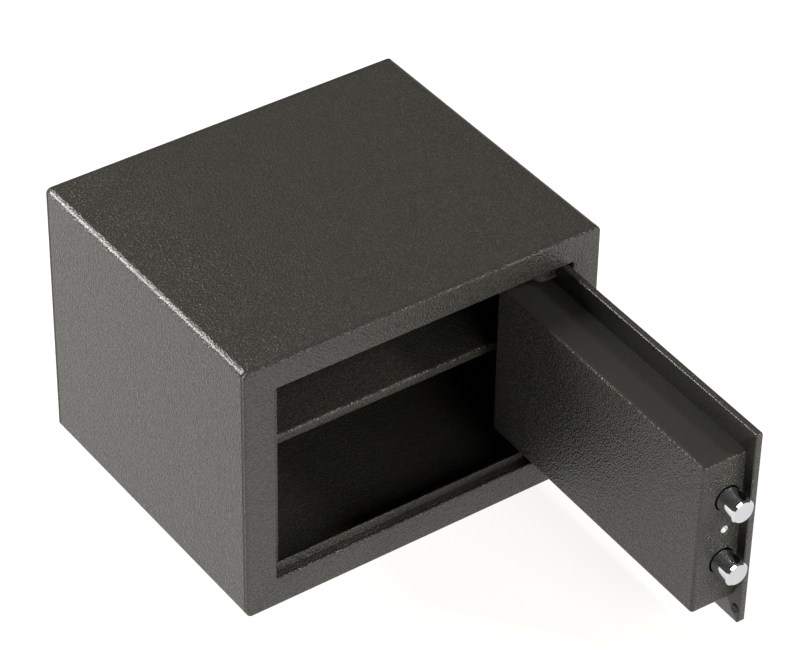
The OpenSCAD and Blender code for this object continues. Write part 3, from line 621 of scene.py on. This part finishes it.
@dataclass(frozen=True)
class TurnedMetal(Finish):
    """Bright turned or polished metal with faint lines round it."""

    metallic: float = 1.0
    strength: float = 0.03
    depth: float = 0.04 * MM
    line_scale: float = 900.0
    smudge_range: Pair = (0.35, 0.7)
    smudge_shade: float = 0.93
    smudge_dull: float = 0.05

    def pattern(self, coat: Coat) -> Skin:
        """Adds faint lines and smudges.

        Args:
            coat: The material in the making.

        Returns:
            The skin that the pattern makes.
        """
        grain = coat.effect(coat.effects.grain, scale=self.line_scale)
        smudge = coat.sheet.ramp(grain["Variation"], *self.smudge_range)
        shade = coat.sheet.mix_color(smudge, self.color, self.tint(self.smudge_shade))
        rough = coat.sheet.more(self.roughness, smudge, self.smudge_dull)
        return Skin(shade, rough, grain["Height"])


@dataclass(frozen=True)
class Palette:
    """Every finish of the safe."""

    paint: Finish = HammerPaint("hammertone_paint")
    shell: Finish = SeamPaint("shell_paint")
    # shade=0.3 and shade=0.45 paint shade onto the plate's inner face beside the lock cover and
    # onto the cover's top
    plate: Finish = PaintedShadePaint("plate_paint", normal=(-0.9997, 0.0244, 0.0), start=-0.1421,
                                   calm=0.92, shade=0.3, dull=0.0)
    cover: Finish = PaintedShadePaint("cover_paint", specular=0.38, start=0.2053, calm=0.7,
                                   shade=0.45, dull=0.35)
    weld: Finish = HammerPaint("painted_weld", (0.058, 0.057, 0.050), roughness=0.4,
                               specular=0.5, scale=420.0)
    chrome: Finish = TurnedMetal("polished_chrome", (0.60, 0.62, 0.64), Slot.CHROME, 0.06)
    zinc: Finish = TurnedMetal("zinc_plate", (0.62, 0.63, 0.65), Slot.ZINC, 0.3)
    brass: Finish = TurnedMetal("oiled_bronze", (0.16, 0.12, 0.07), Slot.BRASS, 0.38)
    rubber: Finish = Finish("black_rubber", (0.012, 0.012, 0.012), Slot.RUBBER, 0.7)
    plastic: Finish = Finish("black_moulding", (0.016, 0.016, 0.018), Slot.BLACK_PLASTIC, 0.45)
    coil: Finish = Finish("coil_wrap", (0.03, 0.03, 0.035), Slot.COIL, 0.55)
    board: Finish = Finish("board_lacquer", (0.02, 0.12, 0.05), Slot.BOARD, 0.35)
    led: Finish = Finish("led_lens", (0.45, 0.02, 0.015), Slot.LED, 0.15)
    battery: Finish = Finish("battery_shell", (0.08, 0.08, 0.09), Slot.BATTERY, 0.35, 0.6)
    key: Finish = Finish("key_moulding", (0.40, 0.41, 0.42), Slot.KEY)
    ink: Finish = Finish("key_ink", (0.02, 0.02, 0.022), Slot.KEY)
    mark: Finish = Finish("white_mark", (0.75, 0.75, 0.73), Slot.BLACK_PLASTIC)


class PaintShop:
    """Makes each finish's material once and puts it on nodes and pieces."""

    def __init__(self) -> None:
        """Builds the shared groups and starts without materials."""
        self.palette = Palette()
        self.effects = Effects()
        self.made: dict[str, bpy.types.Material] = {}

    def coat(self, piece: Piece, finish: Finish) -> None:
        """Gives a piece one finish all over.

        Args:
            piece: The object.
            finish: Its finish.
        """
        if finish.name not in self.made:
            self.made[finish.name] = finish.material(self.effects)
        piece.data.materials.clear()
        piece.data.materials.append(self.made[finish.name])


# Bench

class Bench:
    """Dresses the CAD nodes, and shapes new pieces with Blender's own operators."""

    def __init__(self, shop: PaintShop, nodes: dict[str, Piece]) -> None:
        """Keeps the paint shop for finished pieces and the CAD nodes by name."""
        self.shop = shop
        self.nodes = nodes

    @staticmethod
    def clear() -> None:
        """Leaves nothing selected or active, in object mode."""
        Bench.leave()
        for piece in bpy.context.selected_objects:
            piece.select_set(False)
        bpy.context.view_layer.objects.active = None

    @staticmethod
    def leave() -> None:
        """Goes back to object mode, if a piece is in edit mode."""
        if bpy.context.object and bpy.context.object.mode != "OBJECT":
            bpy.ops.object.mode_set(mode="OBJECT")

    @staticmethod
    def pick(piece: Piece) -> None:
        """Makes a piece the only selected and active one.

        Args:
            piece: The object.
        """
        Bench.clear()
        piece.select_set(True)
        bpy.context.view_layer.objects.active = piece

    @staticmethod
    def edit_all(piece: Piece) -> None:
        """Enters edit mode with all of a piece selected.

        Args:
            piece: The object.
        """
        Bench.pick(piece)
        bpy.ops.object.mode_set(mode="EDIT")
        bpy.ops.mesh.select_all(action="SELECT")

    def cylinder(self, radius: float, depth: float, sides: int = 64) -> Piece:
        """Adds a cylinder along Z, its base at zero.

        Args:
            radius: Its radius in metres.
            depth: Its height in metres.
            sides: Its number of sides.

        Returns:
            The object, alone selected.
        """
        self.clear()
        bpy.ops.mesh.primitive_cylinder_add(vertices=sides, radius=radius, depth=depth,
                                            location=(0, 0, depth / 2))
        self.apply_place(bpy.context.object)
        return bpy.context.object

    def box(self, size: Triple, corner: float = 0.0, steps: int = 1) -> Piece:
        """Adds a box standing on zero, with its upright edges rounded.

        Args:
            size: Its sides in metres.
            corner: The radius of its upright edges, or zero.
            steps: The segments of their rounding.

        Returns:
            The object, alone selected.
        """
        self.clear()
        bpy.ops.mesh.primitive_cube_add(size=1.0, location=(0, 0, size[2] / 2))
        piece = bpy.context.object
        piece.scale = size
        self.apply_place(piece)
        if corner:
            self.select(piece, Pick.EDGES, lambda place, along: abs(along.z) > STRAIGHT)
            bpy.ops.mesh.bevel(offset=corner, segments=steps, affect="EDGES")
            self.leave()
        return piece

    @staticmethod
    def apply_place(piece: Piece) -> None:
        """Puts a piece's place, turn and size into its mesh."""
        Bench.pick(piece)
        bpy.ops.object.transform_apply(location=True, rotation=True, scale=True)

    def select(self, piece: Piece, kind: Pick, test: Callable[[Vector, Vector], bool]) -> None:
        """Enters edit mode with the faces, edges or points selected that pass a test.

        Args:
            piece: The object.
            kind: What is selected.
            test: Takes a place and a normal, or an edge's direction, and says whether to select.
        """
        self.pick(piece)
        bpy.ops.object.mode_set(mode="EDIT")
        bpy.ops.mesh.select_mode(type=kind.value)
        bpy.ops.mesh.select_all(action="DESELECT")
        mesh = bmesh.from_edit_mesh(piece.data)
        if kind is Pick.FACES:
            for face in mesh.faces:
                face.select = test(face.calc_center_median(), face.normal)
        elif kind is Pick.EDGES:
            for edge in mesh.edges:
                start, end = (vert.co for vert in edge.verts)
                edge.select = test((start + end) / 2, (end - start).normalized())
        else:
            for vert in mesh.verts:
                vert.select = test(vert.co, vert.normal)
        mesh.select_flush_mode()
        bmesh.update_edit_mesh(piece.data)

    def top(self, piece: Piece) -> None:
        """Enters edit mode with the faces selected that look up."""
        self.select(piece, Pick.FACES, lambda place, normal: normal.z > STRAIGHT)

    def bevel(self, piece: Piece, width: float, segments: int = 3, angle: float = 30.0) -> None:
        """Rounds every edge sharper than an angle with an applied modifier.

        Args:
            piece: The object.
            width: The rounding in metres.
            segments: How many steps it has.
            angle: The least angle in degrees.
        """
        self.pick(piece)
        modifier = piece.modifiers.new("rounding", "BEVEL")
        modifier.width = width
        modifier.segments = segments
        modifier.limit_method = "ANGLE"
        modifier.angle_limit = math.radians(angle)
        modifier.harden_normals = False
        bpy.ops.object.modifier_apply(modifier=modifier.name)

    def smooth(self, piece: Piece, angle: float = 35.0) -> None:
        """Shades a piece smooth except over edges sharper than an angle in degrees."""
        self.pick(piece)
        bpy.ops.object.shade_smooth_by_angle(angle=math.radians(angle))

    def join(self, pieces: list[Piece]) -> Piece:
        """Joins several meshes into one.

        Args:
            pieces: The objects.

        Returns:
            The joined object.
        """
        self.clear()
        for piece in pieces:
            piece.select_set(True)
        bpy.context.view_layer.objects.active = pieces[0]
        bpy.ops.object.join()
        return pieces[0]

    @staticmethod
    def copy(piece: Piece) -> Piece:
        """Copies a piece.

        Args:
            piece: The object.

        Returns:
            The copy, with a mesh of its own.
        """
        twin = piece.copy()
        twin.data = piece.data.copy()
        bpy.context.scene.collection.objects.link(twin)
        return twin

    def row(self, first: Piece, count: int, step: Vector) -> Piece:
        """Repeats a piece in a row and joins the copies.

        Args:
            first: The piece, at zero.
            count: How many there are in the row.
            step: The way from each to the next.

        Returns:
            The joined object.
        """
        pieces = [first] + [self.copy(first) for _ in range(count - 1)]
        for index, piece in enumerate(pieces):
            self.set_down(piece, Matrix.Translation(step * index))
        return self.join(pieces)

    def copy_node(self, name: str) -> Piece:
        """Copies a CAD node's mesh into a free piece.

        Args:
            name: The CAD node.

        Returns:
            The free copy.
        """
        twin = self.copy(self.nodes[name])
        twin.parent = None
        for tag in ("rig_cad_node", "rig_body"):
            if tag in twin:
                del twin[tag]
        return twin

    def set_down(self, piece: Piece, place: Matrix) -> None:
        """Moves a piece made at zero to its place and puts that in its mesh.

        Args:
            piece: The object.
            place: The matrix from the piece's own frame to the row frame.
        """
        piece.matrix_world = place
        bpy.context.view_layer.update()
        self.apply_place(piece)

    def dress(self, names: Iterable[str], finish: Finish, rounding: float = 0.0) -> None:
        """Coats CAD nodes and shades them smooth over their soft edges.

        Args:
            names: The nodes.
            finish: Their finish.
            rounding: The rounding of sharp edges in metres, or zero.
        """
        for name in names:
            node = self.nodes[name]
            self.shop.coat(node, finish)
            for face in node.data.polygons:
                face.use_smooth = True
            node.modifiers.new("merge", "WELD").merge_threshold = MERGE
            if rounding:
                soften = node.modifiers.new("soften", "BEVEL")
                soften.width = rounding
                soften.segments = 2
                soften.limit_method = "ANGLE"
                soften.angle_limit = SHARP
                soften.use_clamp_overlap = True
            split = node.modifiers.new("split", "EDGE_SPLIT")
            split.split_angle = SHARP_ROUNDED if rounding else SHARP
            split.use_edge_sharp = False
            log.info("%s: %s", name, finish.name)

    def finish(self, piece: Piece, name: str, body: Body | str, finish: Finish,
               *replaces: str) -> None:
        """Names, coats and mounts a finished piece.

        Args:
            piece: The object.
            name: Its name.
            body: The body it rides on.
            finish: Its finish.
            *replaces: The CAD nodes it stands for.
        """
        piece.name = name
        piece.data.name = name
        self.shop.coat(piece, finish)
        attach(piece, body.value if isinstance(body, Body) else body)
        if replaces:
            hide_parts(*replaces)
        log.info("%s: %d faces", name, len(piece.data.polygons))


# Places on the door

@dataclass(frozen=True)
class DoorFrame:
    """The open door's own axes: X towards the pivots, Y inwards and Z up, drawn shut."""

    front_y: float = -0.149
    plate: float = 7.0 * MM
    turn: Matrix = field(default_factory=lambda: Matrix.Translation(PIVOT) @ Matrix.Rotation(
        DOOR_OPEN, 4, "Z") @ Matrix.Translation(-PIVOT))

    def spot(self, x: float, z: float, inner: bool = False) -> Matrix:
        """A place on the plate where local Z points away from the face.

        Args:
            x: The row X of the place with the door shut.
            z: Its height.
            inner: Whether it is on the inner face instead of the front.

        Returns:
            The matrix.
        """
        depth, tip = (self.plate, -math.pi / 2) if inner else (0.0, math.pi / 2)
        lie = Matrix.Translation((x, self.front_y + depth, z))
        return self.turn @ lie @ Matrix.Rotation(tip, 4, "X")


DOOR = DoorFrame()


# CAD nodes

@dataclass
class NodeGroup:
    """A sub-assembly's CAD nodes, in fields named after their finishes in the palette."""

    softened: str = ""
    soft_edge: float = 0.0

    def dress(self, bench: Bench) -> None:
        """Coats every field's nodes with the finish of that name.

        Args:
            bench: The bench.
        """
        for finish, nodes in vars(self).items():
            if isinstance(nodes, tuple):
                edge = self.soft_edge if finish == self.softened else 0.0
                bench.dress(nodes, getattr(bench.shop.palette, finish), edge)


@dataclass
class Cabinet(NodeGroup):
    """The steel body with its strips, brackets and shelf."""

    softened: str = "paint"
    soft_edge: float = 0.6 * MM
    shell: Names = ("body_wrapper", "back_panel", "front_frame")
    paint: Names = ("sill_strip", "head_strip", "strike_strip", "pivot_bracket_top",
                    "pivot_bracket_bottom", "shelf", "shelf_rails")
    brass: Names = ("thrust_washers",)


@dataclass
class Door(NodeGroup):
    """The plate, lock cover, bolts and what they carry."""

    softened: str = "plate"
    soft_edge: float = 0.7 * MM
    plate: Names = ("door_plate",)
    cover: Names = ("lock_cover",)
    paint: Names = ("door_arm_top", "door_arm_bottom")
    chrome: Names = ("bolt_upper", "bolt_lower", "cover_screws", "plunger", "plunger_spring",
                     "lock_cylinder", "lock_plug", "key_cover_rivet")
    zinc: Names = ("cover_blocks", "pivot_pins", "bolt_guide", "guide_studs", "keypad_screws",
                   "solenoid_bracket", "lock_nut", "bolt_carriage", "knob_spindle", "lock_cam")
    brass: Names = ("spindle_bush",)
    rubber: Names = ("cable_grommet", "key_mat", "corner_bumper")


@dataclass
class LockFront(NodeGroup):
    """The keypad, knob and emergency lock on the door's front."""

    plastic: Names = ("keypad_housing", "knob_rose", "key_rose", "key_cover", "battery_lid",
                      "knob")
    key: Names = tuple(f"key_{name}" for name in (*range(10), "star", "hash"))
    coil: Names = ("solenoid_coil",)
    board: Names = ("circuit_board",)
    led: Names = ("status_leds",)
    battery: Names = ("battery",)


# New pieces

@dataclass
class OpeningRim:
    """The front frame again, with the soft rounded rim that its opening has."""

    front_y: float = -0.150
    rounding: float = 1.5 * MM
    steps: int = 4
    band: float = 3.5 * MM
    off_face: float = 0.05 * MM
    flat: float = math.radians(0.5)
    low: Pair = (-0.1462, 0.0285)
    high: Pair = (0.1483, 0.2295)

    def build(self, bench: Bench) -> None:
        """Copies the frame's mesh, merges it and rounds the opening's front edge.

        Args:
            bench: The bench.
        """
        piece = bench.copy_node("front_frame")
        bench.edit_all(piece)
        bpy.ops.mesh.remove_doubles(threshold=MERGE)
        bpy.ops.mesh.dissolve_limited(angle_limit=self.flat)
        bench.leave()
        bench.select(piece, Pick.EDGES, self.on_rim)
        bpy.ops.mesh.bevel(offset=self.rounding, segments=self.steps, affect="EDGES",
                           clamp_overlap=True)
        bpy.ops.mesh.select_all(action="DESELECT")
        bench.leave()
        bench.smooth(piece, 34.0)
        bench.finish(piece, "front_frame_rim", Body.CABINET, bench.shop.palette.shell,
                     "front_frame")

    def on_rim(self, middle: Vector, along: Vector) -> bool:
        """Tells the edges of the opening's front rim from the others.

        Args:
            middle: The edge's middle.
            along: Its direction.

        Returns:
            Whether the edge lies on the rim.
        """
        inset = min(middle.x - self.low[0], self.high[0] - middle.x, middle.z - self.low[1],
                    self.high[1] - middle.z)
        return (0 < inset < self.band and abs(middle.y - self.front_y) < self.off_face
                and abs(along.y) < 0.1)


@dataclass
class Bumper:
    """The small rubber stop on the plate's lower free corner."""

    x: float = -0.1393
    z: float = 0.0430
    radius: float = 4.2 * MM
    thick: float = 1.2 * MM
    rings: Pair = (0.9 * MM, 0.7 * MM)
    dimple: float = 0.25 * MM
    edge: float = 0.35 * MM

    def build(self, bench: Bench) -> None:
        """Builds the domed stop with a shallow dimple in its middle.

        Args:
            bench: The bench.
        """
        piece = bench.cylinder(self.radius, self.thick, sides=48)
        bench.top(piece)
        for ring in self.rings:
            bpy.ops.mesh.inset(thickness=ring)
        bpy.ops.transform.translate(value=(0, 0, -self.dimple))
        bench.leave()
        bench.bevel(piece, self.edge, segments=3, angle=40.0)
        bench.smooth(piece, 50.0)
        bench.set_down(piece, DOOR.spot(self.x, self.z, inner=True))
        bench.finish(piece, "corner_stop", Body.DOOR, bench.shop.palette.rubber, "corner_bumper")


@dataclass
class KnobMarks:
    """The knob's white pointer and the two dots that it turns between."""

    floor: float = 26.62 * MM
    slot: Triple = (1.5 * MM, 12.6 * MM, 0.7 * MM)
    slot_corner: float = 0.6 * MM
    start: float = 7.1 * MM
    dot: Pair = (1.1 * MM, 0.3 * MM)
    dot_rim: float = 0.35 * MM
    dot_crown: float = 0.1 * MM
    dot_ring: float = 30.5 * MM

    def build(self, bench: Bench) -> None:
        """Builds the pointer's inlay and the dots.

        Args:
            bench: The bench.
        """
        white = bench.shop.palette.mark
        middle = DOOR.spot(*KNOB)
        inlay = bench.box(self.slot, self.slot_corner, steps=4)
        bench.smooth(inlay)
        lift = Matrix.Translation((0, self.start + self.slot[1] / 2, self.floor))
        bench.set_down(inlay, middle @ lift)
        bench.finish(inlay, "knob_pointer", Body.KNOB, white)
        first = bench.cylinder(*self.dot, sides=32)
        bench.top(first)
        bpy.ops.mesh.inset(thickness=self.dot_rim)
        bpy.ops.transform.translate(value=(0, 0, self.dot_crown))
        bench.leave()
        bench.smooth(first, 60.0)
        second = bench.copy(first)
        for dot, name, place in ((first, "dot_locked", (0, self.dot_ring, 0)),
                                 (second, "dot_open", (self.dot_ring, 0, 0))):
            bench.set_down(dot, middle @ Matrix.Translation(place))
            bench.finish(dot, name, Body.DOOR, white)


@dataclass
class KeyInk:
    """The figures on the twelve keys."""

    pitch_x: float = 21.0 * MM
    pitch_z: float = 15.99 * MM
    top_row: float = 36.01 * MM
    floor: float = 23.92 * MM
    size: float = 7.2 * MM
    star: float = 1.35
    thick: float = 0.26 * MM
    merge: float = 0.005 * MM
    figures: str = "123456789*0#"

    def build(self, bench: Bench) -> None:
        """Builds every figure and mounts it on its key.

        Args:
            bench: The bench.
        """
        names = {"*": "star", "#": "hash"}
        for index, figure in enumerate(self.figures):
            row, column = divmod(index, 3)
            place = Matrix.Translation(((column - 1) * self.pitch_x,
                                        self.top_row - row * self.pitch_z, self.floor))
            piece = self.figure(bench, figure)
            name = names.get(figure, figure)
            bench.set_down(piece, DOOR.spot(*KEYPAD) @ place)
            bench.finish(piece, f"figure_{name}", f"button_{name}", bench.shop.palette.ink)

    def figure(self, bench: Bench, text: str) -> Piece:
        """Builds one raised figure, its middle at zero.

        Args:
            bench: The bench.
            text: The figure.

        Returns:
            The mesh object.
        """
        bench.clear()
        bpy.ops.object.text_add()
        letter = bpy.context.object.data
        letter.body = text
        letter.size = self.size * (self.star if text == "*" else 1.0)
        letter.extrude = self.thick / 2
        letter.resolution_u = 6
        bpy.ops.object.convert(target="MESH")
        piece = bpy.context.object
        bench.edit_all(piece)
        bpy.ops.mesh.remove_doubles(threshold=self.merge)
        bpy.ops.mesh.normals_make_consistent(inside=False)
        bench.leave()
        middle = sum((Vector(corner) for corner in piece.bound_box), Vector()) / 8
        bench.set_down(piece, Matrix.Translation((-middle.x, -middle.y, self.thick / 2)))
        return piece


@dataclass
class KeypadTrim:
    """The thin raised bead round the keys and the grip ribs of the battery lid."""

    ring: Triple = (69.0 * MM, 66.0 * MM, 0.45 * MM)
    ring_corner: float = 4.0 * MM
    ring_edge: float = 0.2 * MM
    ring_w: float = 1.1 * MM
    ring_y: float = 12.0 * MM
    ring_floor: float = 22.98 * MM
    ribs: int = 6
    rib: Triple = (20.0 * MM, 0.9 * MM, 0.45 * MM)
    rib_edge: float = 0.3 * MM
    rib_pitch: float = 2.2 * MM
    rib_y: float = -47.1 * MM
    rib_floor: float = 22.95 * MM

    def build(self, bench: Bench) -> None:
        """Builds the bead and the ribs.

        Args:
            bench: The bench.
        """
        plastic = bench.shop.palette.plastic
        middle = DOOR.spot(*KEYPAD)
        bead = bench.box(self.ring, self.ring_corner, steps=6)
        bench.select(bead, Pick.FACES, lambda place, normal: abs(normal.z) > STRAIGHT)
        bpy.ops.mesh.inset(thickness=self.ring_w)
        bpy.ops.mesh.bridge_edge_loops()
        bench.leave()
        bench.bevel(bead, self.ring_edge, segments=2, angle=50.0)
        bench.smooth(bead, 50.0)
        bench.set_down(bead, middle @ Matrix.Translation((0, self.ring_y, self.ring_floor)))
        bench.finish(bead, "keypad_bead", Body.DOOR, plastic)
        rib = bench.box(self.rib)
        bench.bevel(rib, self.rib_edge, segments=3, angle=40.0)
        bench.smooth(rib, 50.0)
        grip = bench.row(rib, self.ribs, Vector((0, self.rib_pitch, 0)))
        bench.set_down(grip, middle @ Matrix.Translation((0, self.rib_y, self.rib_floor)))
        bench.finish(grip, "lid_ribs", Body.LID, plastic)


@dataclass
class Welds:
    """Short fillet welds where strips and door ears meet the sheets."""

    radius: float = 1.5 * MM
    flattening: float = 0.3 * MM
    step: float = 1.25 * MM
    cabinet_drops: int = 14
    cabinet_y: float = -0.1386
    cabinet: tuple[tuple[float, float, Axis], ...] = (
        (-0.120, 0.0290, Axis.ACROSS), (0.000, 0.0290, Axis.ACROSS),
        (0.095, 0.0290, Axis.ACROSS), (-0.110, 0.2290, Axis.ACROSS),
        (0.060, 0.2290, Axis.ACROSS), (-0.1457, 0.0700, Axis.UP), (-0.1457, 0.1700, Axis.UP))
    ear_drops: int = 9
    ear_offset: float = 5.0 * MM
    ears: Pair = (0.2160, 0.0420)

    def build(self, bench: Bench) -> None:
        """Builds the welds of the cabinet and of the door.

        Args:
            bench: The bench.
        """
        turns = {Axis.ACROSS: Matrix.Identity(4), Axis.UP: Matrix.Rotation(-math.pi / 2, 4, "Y")}
        strips = [Matrix.Translation((x, self.cabinet_y, z)) @ turns[axis]
                  for x, z, axis in self.cabinet]
        ears = [DOOR.turn @ Matrix.Translation(
            (PIVOT.x - self.ear_offset, DOOR.front_y + DOOR.plate, z)) for z in self.ears]
        for name, body, places, drops in (
                ("strip_welds", Body.CABINET, strips, self.cabinet_drops),
                ("ear_welds", Body.DOOR, ears, self.ear_drops)):
            runs = [self.run(bench, drops, place) for place in places]
            bench.finish(bench.join(runs), name, body, bench.shop.palette.weld)

    def run(self, bench: Bench, drops: int, place: Matrix) -> Piece:
        """Builds one weld run from overlapping flattened drops.

        Args:
            bench: The bench.
            drops: Its number of drops.
            place: Its place, where local X runs along it.

        Returns:
            The run.
        """
        bench.clear()
        bpy.ops.mesh.primitive_uv_sphere_add(segments=12, ring_count=8, radius=self.radius)
        drop = bpy.context.object
        bench.select(drop, Pick.POINTS, lambda spot, normal: spot.x > self.radius / 3)
        bpy.ops.transform.translate(value=(-self.flattening, 0, 0))
        bench.leave()
        bench.smooth(drop, 60.0)
        run = bench.row(drop, drops, Vector((self.step, 0, 0)))
        bench.set_down(run, place)
        return run


# Studio

@dataclass(frozen=True)
class Lamp:
    """One soft area light aimed at the safe."""

    name: str
    place: Triple
    size: Pair
    power: float
    aim: Triple = (0.0, 0.0, 0.1)
    color: Color = (1.0, 0.995, 0.96)

    def build(self) -> None:
        """Adds the light to the scene, its face turned to its aim."""
        data = bpy.data.lights.new(self.name, "AREA")
        data.shape = "RECTANGLE"
        data.size, data.size_y = self.size
        data.energy = self.power
        data.color = self.color
        source = bpy.data.objects.new(self.name, data)
        bpy.context.scene.collection.objects.link(source)
        source.location = self.place
        towards = Vector(self.aim) - Vector(self.place)
        source.rotation_euler = towards.to_track_quat("-Z", "Y").to_euler()


@dataclass
class Studio:
    """Floor, lights and the photograph's camera."""

    eye: Triple = (-1.3229, -1.9370, 1.9770)
    right: Triple = (0.816432479, -0.577238127, 0.0153020514)
    down: Triple = (-0.347842348, -0.512787065, -0.784891793)
    ahead: Triple = (0.460916163, 0.635488451, -0.61944388)
    lens: float = 158.9
    sensor: float = 36.0
    clip: Pair = (0.1, 50.0)
    world: Color = (1.0, 0.98, 0.94)
    world_strength: float = 0.08
    table_size: float = 24.0
    table_drop: float = 0.2 * MM
    table_glow: float = 0.88
    table_roughness: float = 0.9
    table_specular: float = 0.1
    table_shade: Color = (0.25, 0.25, 0.25)
    table_light: Color = (1.0, 0.99, 0.965)
    lamps: tuple[Lamp, ...] = (
        Lamp("rim_box", (-1.42, 1.76, 1.45), (0.42, 2.1), 125.0),
        Lamp("back_box", (1.60, 1.60, 1.50), (2.4, 1.6), 4.0),
        Lamp("front_box", (-0.10, -2.50, 1.45), (1.6, 1.0), 52.0),
        Lamp("edge_box", (1.30, -1.75, 1.80), (0.35, 0.35), 34.0),
    )

    def build(self) -> None:
        """Makes the floor, the lights and the camera."""
        self.floor()
        for lamp in self.lamps:
            lamp.build()
        world = bpy.data.worlds.new("studio")
        bpy.context.scene.world = world
        world.use_nodes = True
        back = world.node_tree.nodes["Background"]
        back.inputs["Color"].default_value = (*self.world, 1.0)
        back.inputs["Strength"].default_value = self.world_strength
        self.camera()

    def floor(self) -> None:
        """Lays a large pale light table as the floor."""
        Bench.clear()
        bpy.ops.mesh.primitive_plane_add(size=self.table_size, location=(0, 0, -self.table_drop))
        floor = bpy.context.object
        floor.name = "studio_floor"
        material = bpy.data.materials.new("pale_paper")
        material.use_nodes = True
        shader = material.node_tree.nodes["Principled BSDF"]
        for name, value in (("Base Color", (*self.table_shade, 1.0)),
                            ("Roughness", self.table_roughness),
                            ("Specular IOR Level", self.table_specular),
                            ("Emission Color", (*self.table_light, 1.0)),
                            ("Emission Strength", self.table_glow)):
            shader.inputs[name].default_value = value
        floor.data.materials.append(material)

    def camera(self) -> None:
        """Sets up the camera found from the photograph's straight edges."""
        data = bpy.data.cameras.new("photo_camera")
        data.lens = self.lens
        data.sensor_width = self.sensor
        data.clip_start, data.clip_end = self.clip
        camera = bpy.data.objects.new("photo_camera", data)
        bpy.context.scene.collection.objects.link(camera)
        turn = Matrix((self.right, -Vector(self.down), -Vector(self.ahead))).transposed()
        camera.matrix_world = Matrix.Translation(self.eye) @ turn.to_4x4()
        bpy.context.scene.camera = camera
        bpy.context.scene.view_settings.view_transform = "Standard"


def main() -> None:
    """Loads the frame, dresses it, adds the pieces and sets up the studio."""
    logging.basicConfig(level=logging.INFO, format="%(name)s: %(message)s")
    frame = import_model()
    bench = Bench(PaintShop(), frame["nodes"])
    for group in (Cabinet(), Door(), LockFront()):
        group.dress(bench)
    for trim in (OpeningRim(), Bumper(), KnobMarks(), KeyInk(), KeypadTrim(), Welds()):
        trim.build(bench)
    Studio().build()


if __name__ == "__main__":
    main()
